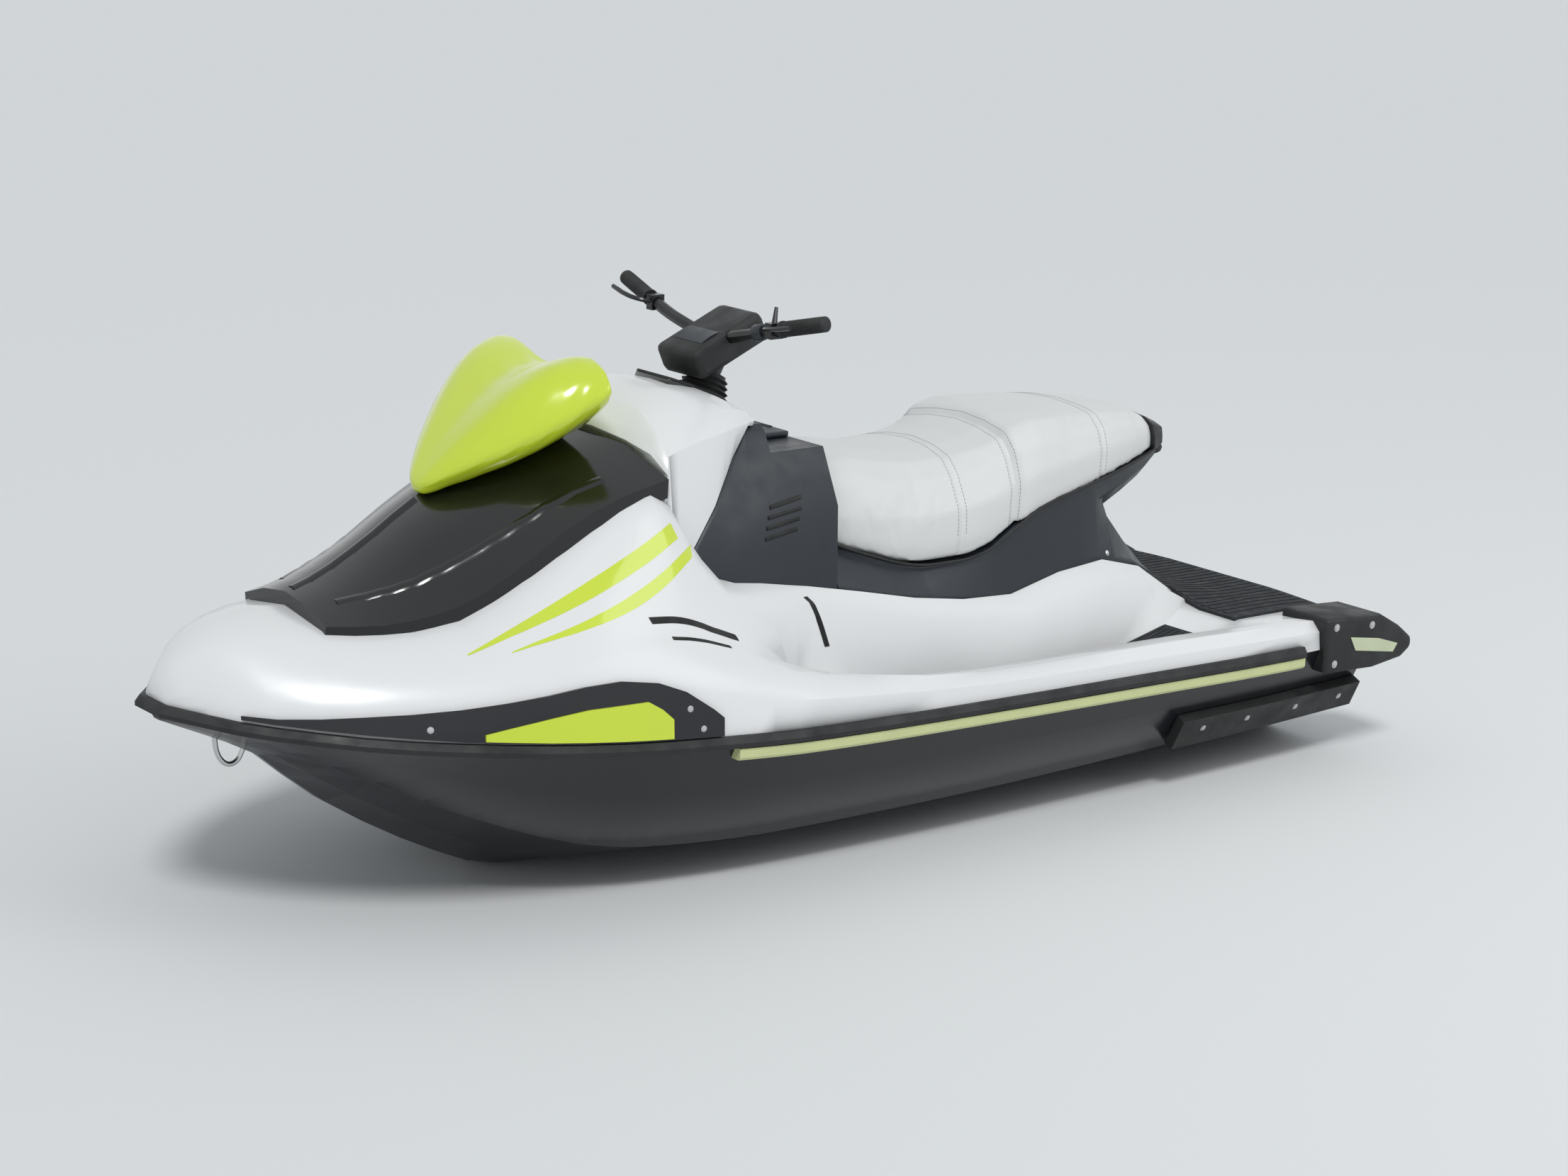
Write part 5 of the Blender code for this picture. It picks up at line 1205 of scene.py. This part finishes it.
@dataclass
class SidePanels:
    """Painted streaks, vents and slits on both sides of the deck."""

    # Direction in which the streaks and vents are laid on port.
    sight: Point = (0.0, -0.8, -0.6)
    # Upper and lower edge of each streak.
    streaks: tuple[tuple[tuple, tuple], ...] = (
        (((1.03, 0.37, 0.604), (0.82, 0.36, 0.672), (0.62, 0.32, 0.728), (0.530, 0.295, 0.762)),
         ((1.03, 0.37, 0.600), (0.80, 0.37, 0.644), (0.62, 0.335, 0.690), (0.520, 0.305, 0.728))),
        (((0.95, 0.39, 0.592), (0.76, 0.385, 0.622), (0.60, 0.35, 0.664), (0.485, 0.305, 0.712)),
         ((0.95, 0.39, 0.589), (0.74, 0.39, 0.602), (0.60, 0.365, 0.638), (0.490, 0.315, 0.686))))
    # Middle line and width of each vent.
    vents: tuple[tuple[tuple, float], ...] = (
        (((0.640, 0.400, 0.600), (0.560, 0.400, 0.592), (0.490, 0.400, 0.560),
          (0.420, 0.400, 0.530)), 0.020),
        (((0.600, 0.420, 0.560), (0.530, 0.420, 0.548), (0.450, 0.420, 0.520)), 0.010))
    vent_across: Point = (0.2, 0.0, 1.0)
    # Slit at the front of the footwell.
    slit: tuple[Point, ...] = ((0.150, 0.330, 0.575), (0.118, 0.330, 0.530), (0.085, 0.330, 0.455))
    slit_width: float = 0.014
    slit_sight: Point = (0.0, -1.0, -0.2)

    def build(self) -> None:
        """Lay the streaks, vents and slits on port and starboard."""
        surface = surface_of("deck", "steering_cowl", "console")
        streaks = [Strip(upper, lower, self.sight, height_mm=0.5, sink_mm=0.6, steps=60, rows=8)
                   for upper, lower in self.streaks]
        laid("side_streaks", streaks, surface_of("deck"), LIME_PAINT, "craft", BOTH_SIDES,
             like=bpy.data.objects["deck_finish"])
        # The vents and the footwell's slit are laid as deep black strips of painted shade.
        vents = [Strip(*band(points, width, self.vent_across), self.sight, height_mm=1.6,
                       sink_mm=1.0, steps=30, rows=4, crown=0.6) for points, width in self.vents]
        vents.append(Strip(*band(self.slit, self.slit_width, (1.0, 0.0, 0.0)), self.slit_sight,
                           height_mm=1.2, sink_mm=1.0, steps=24, rows=4, crown=0.5))
        laid("side_vents", vents, surface, SHADE_BLACK, "craft", BOTH_SIDES)


@dataclass
class Mats:
    """Raised ribs on the foam mats."""

    # Each row gives a mat, the number of its ribs and their width in metres.
    rows: tuple[tuple[str, int, float], ...] = (
        ("foot_mat_left", 7, 0.0085), ("foot_mat_right", 7, 0.0085), ("rear_mat", 27, 0.0150))
    rib_height_mm: float = 2.4
    # Share of a mat's width that stays plain at each side, and the plain length at each end.
    border: float = 0.06
    plain_end: float = 0.012
    # Cuts across a mat that are narrower, or nearer to a rib's end, than these aren't used.
    least_width: float = 0.02
    least_step: float = 0.01
    # The ribs are laid down from this height.
    above_z: float = 0.5

    def rib_line(self, stations: list[Point], share: float) -> tuple[Point, ...]:
        """Work out a rib's middle line.

        Args:
            stations: X, lowest Y and highest Y of cuts across the mat.
            share: The rib's place across the mat, from 0 to 1.

        Returns:
            The line.
        """
        cuts, low_edge, high_edge = zip(*stations)
        first, last = cuts[0] + self.plain_end, cuts[-1] - self.plain_end
        inner = [x for x in cuts if first + self.least_step < x < last - self.least_step]
        line = []
        for x in [first] + inner + [last]:
            low, high = float(np.interp(x, cuts, low_edge)), float(np.interp(x, cuts, high_edge))
            line.append((x, low + share * (high - low), self.above_z))
        return tuple(line)

    def build(self) -> None:
        """Lay ribs along each mat, following its outline."""
        for node, count, width in self.rows:
            rows: dict[float, list[float]] = {}
            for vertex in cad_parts[node].data.vertices:
                rows.setdefault(round(vertex.co.x, 3), []).append(vertex.co.y)
            stations = [(x, min(ys), max(ys)) for x, ys in sorted(rows.items())
                        if max(ys) - min(ys) > self.least_width]
            strips = []
            for index in range(count):
                share = self.border + (1.0 - 2.0 * self.border) * index / (count - 1)
                line = self.rib_line(stations, share)
                strips.append(Strip(*band(line, width, (0.0, 1.0, 0.0)), DOWN,
                                    height_mm=self.rib_height_mm, sink_mm=1.0,
                                    steps=3 * len(line), rows=2, crown=0.25))
            laid(node + "_ribs", strips, surface_of(node), FOAM, "craft")


@dataclass
class HoodTrim:
    """Creases on the hood, the mirror cowl and the rims of the mirror glasses."""

    # Middle lines of the crease and of the port shoulder, and their widths.
    crease: tuple[Point, ...] = ((0.950, 0.0, 0.8), (1.100, 0.0, 0.8), (1.238, 0.0, 0.8))
    crease_width: float = 0.030
    shoulder: tuple[Point, ...] = ((0.640, 0.232, 0.9), (0.900, 0.205, 0.9), (1.060, 0.170, 0.9),
                                   (1.200, 0.112, 0.9))
    shoulder_width: float = 0.020
    # Half axes and centre, as (Y, Z), of the port mirror glass.
    glass_centre: Pair = (0.160, 1.060)
    glass_half: Pair = (0.056, 0.026)
    glass_steps: int = 48
    rim_radius: float = 0.0032
    rim_proud: float = 0.001
    # How often the cowl is subdivided, and how sharp its rear rim stays in that.
    cowl_levels: int = 3
    rim_crease: float = 0.7
    rim_sharp_deg: float = 40.0

    def creases(self) -> None:
        """Lay the crease and both shoulders on the hood."""
        across = (0.0, 1.0, 0.0)
        surface = surface_of("hood")
        middle = Strip(*band(self.crease, self.crease_width, across), DOWN, height_mm=3.5,
                       sink_mm=1.0, steps=40, rows=8, crown=1.0)
        laid("hood_crease", [middle], surface, HOOD_PAINT, "hood")
        outer = Strip(*band(self.shoulder, self.shoulder_width, across), DOWN, height_mm=2.6,
                      sink_mm=1.0, steps=50, rows=6, crown=1.0)
        laid("hood_shoulders", [outer], surface, HOOD_PAINT, "hood", BOTH_SIDES)

    def cowl(self) -> None:
        """Make the mirror cowl as a smooth form with a sharp rear rim."""
        bm = node_bmesh("mirror_cowl")
        crease = bm.edges.layers.float.new("crease_edge")
        rear_x = min(vertex.co.x for vertex in bm.verts)
        for edge in bm.edges:
            if all(abs(vertex.co.x - rear_x) < 0.1 * MM for vertex in edge.verts):
                edge[crease] = self.rim_crease
        cowl = subdivided(new_object("mirror_cowl_finish", bm, 180.0), self.cowl_levels)
        cowl.data.shade_smooth()
        cowl.data.set_sharp_from_angle(angle=math.radians(self.rim_sharp_deg))
        show(cowl, LIME_PAINT, "hood", "mirror_cowl")

    def rims(self) -> None:
        """Make the rubber rims round both mirror glasses."""
        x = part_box("mirror_glass_left")[0][0] + self.rim_proud
        bm = bmesh.new()
        for side in Side:
            loop = []
            for step in range(self.glass_steps + 1):
                angle = FULL_TURN * step / self.glass_steps
                y = side.value * (self.glass_centre[0] + self.glass_half[0] * math.cos(angle))
                loop.append(Vector((x, y, self.glass_centre[1]
                                    + self.glass_half[1] * math.sin(angle))))
            tube_mesh(bm, loop, self.rim_radius, 10)
        show(new_object("mirror_rims", bm, 60.0), RUBBER, "hood")

    def build(self) -> None:
        """Make the creases, the cowl and the rims."""
        self.creases()
        self.cowl()
        self.rims()


@dataclass
class Steering:
    """Ribbed grips, control pod, the column's boot and the panel on the bar's pad."""

    # Axis of the port grip.
    grip_start: Point = (0.185, 0.240, 1.147)
    grip_end: Point = (0.165, 0.365, 1.176)
    # The grip's flange, one rib and its end. Each pair gives a place and a share of the radius.
    # The place is a distance from the start, a share of the pitch, or a distance from the end.
    flange: tuple[Pair, ...] = ((0.0005, 0.70), (0.001, 1.06), (0.006, 1.06), (0.008, 0.86))
    rib: tuple[Pair, ...] = ((0.0, 0.86), (0.25, 0.98), (0.65, 0.98), (0.85, 0.86))
    grip_tip: tuple[Pair, ...] = ((0.011, 0.96), (0.003, 0.96), (0.0005, 0.80))
    ribs: int = 15
    ribs_from: float = 0.010
    ribless: float = 0.022
    # Control pod: place along the bar from the grip, profile, and buttons.
    pod_inboard: float = 0.052
    pod_profile: tuple[Pair, ...] = ((0.0, 0.010), (0.001, 0.0165), (0.004, 0.0180),
                                     (0.026, 0.0180), (0.029, 0.0165), (0.030, 0.010))
    button_towards: Point = (-0.75, -0.12, 0.65)
    button_out: float = 0.014
    button_profile: tuple[Pair, ...] = ((0.0, 0.0045), (0.0062, 0.0045), (0.0072, 0.0036))
    # Each button's name, its place along the pod and its finish.
    buttons: tuple[tuple[str, float, Finish], ...] = (
        ("stop_button", 0.009, RED_CAP), ("start_button", 0.021, GREEN_CAP))
    # The column's pivot and its lean towards the stern, and the boot's profile from its foot up.
    pivot: Point = (0.215, 0.0, 0.975)
    lean_deg: float = 28.0
    boot: tuple[Pair, ...] = (
        (0.000, 0.058), (0.006, 0.060), (0.012, 0.050), (0.018, 0.055), (0.024, 0.045),
        (0.030, 0.050), (0.036, 0.041), (0.042, 0.045), (0.048, 0.036), (0.052, 0.036))
    boot_sunk: float = 0.004
    # The cowl is looked for down the axis, from this far up it and this far behind it.
    look_up: float = 0.25
    look_behind: Point = (-0.055, 0.0, 0.0)
    look_reach: float = 0.4
    # Middle line, width and direction of the panel on the pad.
    pad_panel: tuple[Point, ...] = ((0.20, -0.052, 1.2), (0.20, 0.0, 1.2), (0.20, 0.052, 1.2))
    pad_width: float = 0.040
    pad_sight: Point = (0.35, 0.0, -1.0)

    def grips(self) -> None:
        """Make the ribbed rubber grips in place of the plain ones."""
        low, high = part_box("grip_left")
        start, end = Vector(self.grip_start), Vector(self.grip_end)
        length = (end - start).length
        radius = 0.5 * (high[0] - low[0] - abs(start.x - end.x))
        pitch = (length - self.ribless) / self.ribs
        profile = [(at, share * radius) for at, share in self.flange]
        for index in range(self.ribs):
            at = self.ribs_from + index * pitch
            profile += [(at + part * pitch, share * radius) for part, share in self.rib]
        profile += [(length - back, share * radius) for back, share in self.grip_tip]
        for side in Side:
            bm = bmesh.new()
            root = Vector((start.x, side.value * start.y, start.z))
            tip = Vector((end.x, side.value * end.y, end.z))
            turned(bm, root, tip - root, profile, 28)
            grip = new_object("grip_%s_ribbed" % side.word, bm, 50.0)
            show(grip, RUBBER, "steering", "grip_" + side.word)

    def pod(self) -> None:
        """Make the two-button pod beside the port lever."""
        start, end = Vector(self.grip_start), Vector(self.grip_end)
        run = (start - end).normalized()
        middle = start + self.pod_inboard * run
        bm = bmesh.new()
        turned(bm, middle, run, list(self.pod_profile), 28)
        show(new_object("control_pod", bm, 40.0), PLASTIC, "steering")
        out = Vector(self.button_towards).normalized()
        for name, reach, finish in self.buttons:
            bm = bmesh.new()
            foot = middle + reach * run + self.button_out * out
            turned(bm, foot, out, list(self.button_profile), 18)
            show(new_object(name, bm, 40.0), finish, "steering")

    def column_boot(self) -> None:
        """Make the bellows around the column's foot, which stays on the cowl."""
        lean, pivot = math.radians(self.lean_deg), Vector(self.pivot)
        axis = Vector((-math.sin(lean), 0.0, math.cos(lean)))
        eye = pivot + self.look_up * axis + Vector(self.look_behind)
        hit = surface_of("steering_cowl").ray_cast(eye, -axis, self.look_reach)[0]
        base = pivot if hit is None else pivot + (hit - pivot).dot(axis) * axis
        bm = bmesh.new()
        turned(bm, base - self.boot_sunk * axis, axis, list(self.boot), 36)
        show(new_object("column_boot", bm, 60.0), RUBBER, "craft")

    def build(self) -> None:
        """Make the grips, the pod, the boot and the pad's panel."""
        self.grips()
        self.pod()
        self.column_boot()
        panel = Strip(*band(self.pad_panel, self.pad_width, (1.0, 0.0, 0.0)), self.pad_sight,
                      height_mm=4.0, sink_mm=1.0, steps=24, rows=8, crown=0.8)
        laid("pad_panel", [panel], surface_of("bar_pad"), PLASTIC, "steering")


@dataclass
class Dash:
    """Instrument rim and marks, the lid's latch, louvres on the console and plug slots."""

    # The display's middle, half sizes and tilt, and its rim.
    gauge_centre: Point = (0.318, 0.0, 1.008)
    gauge_half: Point = (0.036, 0.062, 0.008)
    gauge_tilt_deg: float = -20.0
    rim_corner: float = 0.012
    rim_corner_steps: int = 6
    rim_radius: float = 0.0032
    # Two dials: Y of their middles, radius, marks over this sweep, every fifth one long.
    dial_y: Pair = (-0.030, 0.030)
    dial_radius: float = 0.021
    dial_marks: int = 11
    dial_sweep_deg: float = 240.0
    long_mark: float = 0.006
    short_mark: float = 0.0035
    mark_radius: float = 0.0006
    mark_proud: float = 0.0002
    # The pointer's two ends beside the dial's middle, and its radius.
    pointer: tuple[Pair, Pair] = ((-0.003, 0.0), (0.013, 0.008))
    pointer_radius: float = 0.0008
    # The lid's latch.
    latch: tuple[Point, ...] = ((0.046, -0.030, 0.9), (0.046, 0.030, 0.9))
    latch_width: float = 0.012
    # Louvres: X and Z of the lowest, step back and up to the next, half length, slant and width,
    # and the Y from which they are laid.
    louvres: int = 4
    louvre_low: Pair = (0.190, 0.700)
    louvre_back: float = 0.006
    louvre_pitch: float = 0.022
    louvre_half: float = 0.045
    louvre_slant: float = 0.012
    louvre_width: float = 0.010
    louvre_y: float = 0.4
    # Slot in the port drain plug: X, inner and outer Y, Z and width.
    slot_x: float = -1.46
    slot_y: Pair = (0.288, 0.312)
    slot_z: float = 0.125
    slot_width: float = 0.004

    def display_rim(self, turn: Matrix) -> None:
        """Make the rim round the display.

        Args:
            turn: The display's place.
        """
        half_x, half_y, half_z = self.gauge_half
        corner = self.rim_corner
        loop = []
        for sx, sy, first in ((1, 1, 0), (-1, 1, 90), (-1, -1, 180), (1, -1, 270)):
            for step in range(self.rim_corner_steps + 1):
                angle = math.radians(first + 90 * step / self.rim_corner_steps)
                loop.append(turn @ Vector((sx * (half_x - corner) + corner * math.cos(angle),
                                           sy * (half_y - corner) + corner * math.sin(angle),
                                           half_z)))
        bm = bmesh.new()
        tube_mesh(bm, loop + [loop[0]], self.rim_radius, 10)
        show(new_object("display_rim", bm, 60.0), RUBBER, "craft")

    def dials(self, turn: Matrix) -> None:
        """Make the plain marks and pointers of the two dials.

        Args:
            turn: The display's place.
        """
        top = self.gauge_half[2]
        bm = bmesh.new()
        for middle_y in self.dial_y:
            middle = Vector((0.0, middle_y, top + self.mark_proud))
            for mark in range(self.dial_marks):
                angle = math.radians(-0.5 * self.dial_sweep_deg
                                     + self.dial_sweep_deg * mark / (self.dial_marks - 1))
                away = Vector((math.cos(angle), math.sin(angle), 0.0))
                inner = self.dial_radius - (self.long_mark if mark % 5 == 0 else self.short_mark)
                tube_mesh(bm, [turn @ (middle + inner * away),
                               turn @ (middle + self.dial_radius * away)], self.mark_radius, 6)
            ends = [turn @ Vector((x, middle_y + y, top)) for x, y in self.pointer]
            tube_mesh(bm, ends, self.pointer_radius, 6)
        show(new_object("dial_marks", bm, 60.0), PALE_INLAY, "craft")

    def louvre_slats(self) -> list[Strip]:
        """Work out the louvres of the console's port side.

        Returns:
            Their strips.
        """
        slats = []
        for index in range(self.louvres):
            x = self.louvre_low[0] - self.louvre_back * index
            z = self.louvre_low[1] + self.louvre_pitch * index
            line = ((x - self.louvre_half, self.louvre_y, z + self.louvre_slant),
                    (x + self.louvre_half, self.louvre_y, z))
            slats.append(Strip(*band(line, self.louvre_width, UP), INWARD, height_mm=2.6,
                               sink_mm=1.0, steps=16, rows=4, crown=0.8))
        return slats

    def build(self) -> None:
        """Make the instrument, the latch, the louvres and the plug slots."""
        turn = (Matrix.Translation(self.gauge_centre)
                @ Matrix.Rotation(math.radians(self.gauge_tilt_deg), 4, "Y"))
        self.display_rim(turn)
        self.dials(turn)
        latch = Strip(*band(self.latch, self.latch_width, (1.0, 0.0, 0.0)), DOWN, height_mm=3.0,
                      sink_mm=0.5, steps=16, rows=4, crown=0.7)
        laid("lid_latch", [latch], surface_of("glovebox_lid"), RUBBER, "glovebox_lid")
        # The louvres are deep black slats of painted shade.
        laid("console_louvres", self.louvre_slats(), surface_of("console"), SHADE_BLACK, "craft",
             BOTH_SIDES)
        # The plug slots are deep black strips of painted shade.
        for side in Side:
            line = tuple((self.slot_x, y * side.value, self.slot_z) for y in self.slot_y)
            slot = Strip(*band(line, self.slot_width, UP), (1.0, 0.0, 0.0), height_mm=1.6,
                         sink_mm=0.5, steps=6, rows=2, crown=0.4)
            surface = surface_of("drain_plug_" + side.word)
            laid("plug_slot_" + side.word, [slot], surface, SHADE_BLACK, "craft")


@dataclass(frozen=True)
class BoltRow:
    """Bolts in one node: the direction that finds its surface, their size and their places."""

    node: str
    towards: Point
    radius_mm: float
    height_mm: float
    spots: tuple[Point, ...]


@dataclass
class Fittings:
    """Bolts, bow eye and stern eyes."""

    bolts: tuple[BoltRow, ...] = (
        BoltRow("stern_bumper_left", INWARD, 7.0, 3.0,
                ((-1.290, 0.6, 0.352), (-1.290, 0.6, 0.262), (-1.415, 0.6, 0.342))),
        BoltRow("sponson_left", INWARD, 6.0, 2.5,
                ((-1.38, 0.7, 0.155), (-1.22, 0.7, 0.155), (-1.05, 0.7, 0.155),
                 (-0.90, 0.7, 0.155))),
        BoltRow("bow_shoulder_left", INWARD, 5.0, 2.0,
                ((0.585, 0.7, 0.400), (0.615, 0.7, 0.445), (1.15, 0.7, 0.452))),
        BoltRow("seat_base", INWARD, 5.0, 2.0, ((-0.85, 0.6, 0.520),)),
        BoltRow("pump_housing", (1.0, 0.0, 0.0), 5.0, 4.0,
                ((-1.40, 0.0697, 0.2197), (-1.40, 0.0985, 0.150), (-1.40, 0.0697, 0.0803))))
    bolt_reach: float = 0.8
    # Washer and hexagon head: each pair gives a distance from the washer's foot and a share of
    # the radius, and the head's top is chamfered by the last two values.
    washer: tuple[Pair, ...] = ((0.0, 1.35), (0.0025, 1.35), (0.0026, 1.0))
    washer_sunk: float = 0.0015
    head_foot: float = 0.0009
    head_chamfer: float = 0.0006
    head_top: float = 0.85
    # Middle lines of the bow eye and of a stern eye, their radii, and the stern eyes' Y.
    bow_eye: tuple[Point, ...] = ((1.352, 0.0, 0.352), (1.366, 0.0, 0.322), (1.392, 0.0, 0.318),
                                  (1.414, 0.0, 0.346), (1.418, 0.0, 0.388))
    bow_eye_radius: float = 0.0055
    stern_eye: tuple[Point, ...] = ((-1.440, 0.0, 0.305), (-1.462, 0.0, 0.300),
                                    (-1.478, 0.0, 0.280), (-1.478, 0.0, 0.262),
                                    (-1.462, 0.0, 0.244), (-1.440, 0.0, 0.240))
    stern_eye_radius: float = 0.0045
    stern_eye_y: float = 0.330
    eye_points: int = 24

    def bolt(self, bm: bmesh.types.BMesh, row: BoltRow, at: Vector, out: Vector) -> None:
        """Add a bolt with its washer to a mesh.

        Args:
            bm: Mesh that gets it.
            row: Row that it belongs to.
            at: Its place on the surface.
            out: Direction of the surface's normal.
        """
        radius, height = row.radius_mm * MM, row.height_mm * MM
        washer = [(reach, share * radius) for reach, share in self.washer]
        turned(bm, at - self.washer_sunk * out, out, washer, 20)
        head = [(0.0, radius), (height - self.head_chamfer, radius),
                (height, self.head_top * radius)]
        turned(bm, at + self.head_foot * out, out, head, 6)

    def build_bolts(self) -> None:
        """Make all bolts, on both sides, as one piece."""
        bm = bmesh.new()
        for row in self.bolts:
            surface = surface_of(row.node)
            towards = Vector(row.towards)
            for spot in row.spots:
                hit, normal, _, _ = surface.ray_cast(Vector(spot), towards, self.bolt_reach)
                if hit is None:
                    LOG.info("no bolt at %s on %s", spot, row.node)
                    continue
                if normal.dot(towards) > 0.0:
                    normal = -normal
                for side in Side:
                    self.bolt(bm, row, Vector((hit.x, side.value * hit.y, hit.z)),
                              Vector((normal.x, side.value * normal.y, normal.z)))
        show(new_object("bolts", bm), STAINLESS, "craft")

    def build_eyes(self) -> None:
        """Make the bow eye and both stern eyes as one piece."""
        bm = bmesh.new()
        tube_mesh(bm, smooth_line(list(self.bow_eye), self.eye_points), self.bow_eye_radius, 12)
        for side in Side:
            line = [(x, side.value * self.stern_eye_y, z) for x, _, z in self.stern_eye]
            tube_mesh(bm, smooth_line(line, self.eye_points), self.stern_eye_radius, 12)
        show(new_object("tow_eyes", bm, 50.0), STAINLESS, "craft")

    def build(self) -> None:
        """Make the fasteners and the eyes."""
        self.build_bolts()
        self.build_eyes()


def main() -> None:
    """Build the studio, then the craft, one sub-assembly after another."""
    logging.basicConfig(level=logging.INFO, format="%(name)s %(message)s")
    Studio().build()
    for part in (PlainNodes(), Seat(), SidePanels(), Mats(), HoodTrim(), Steering(), Dash(),
                 Fittings()):
        LOG.info("building %s", type(part).__name__)
        part.build()


if __name__ == "__main__":
    main()
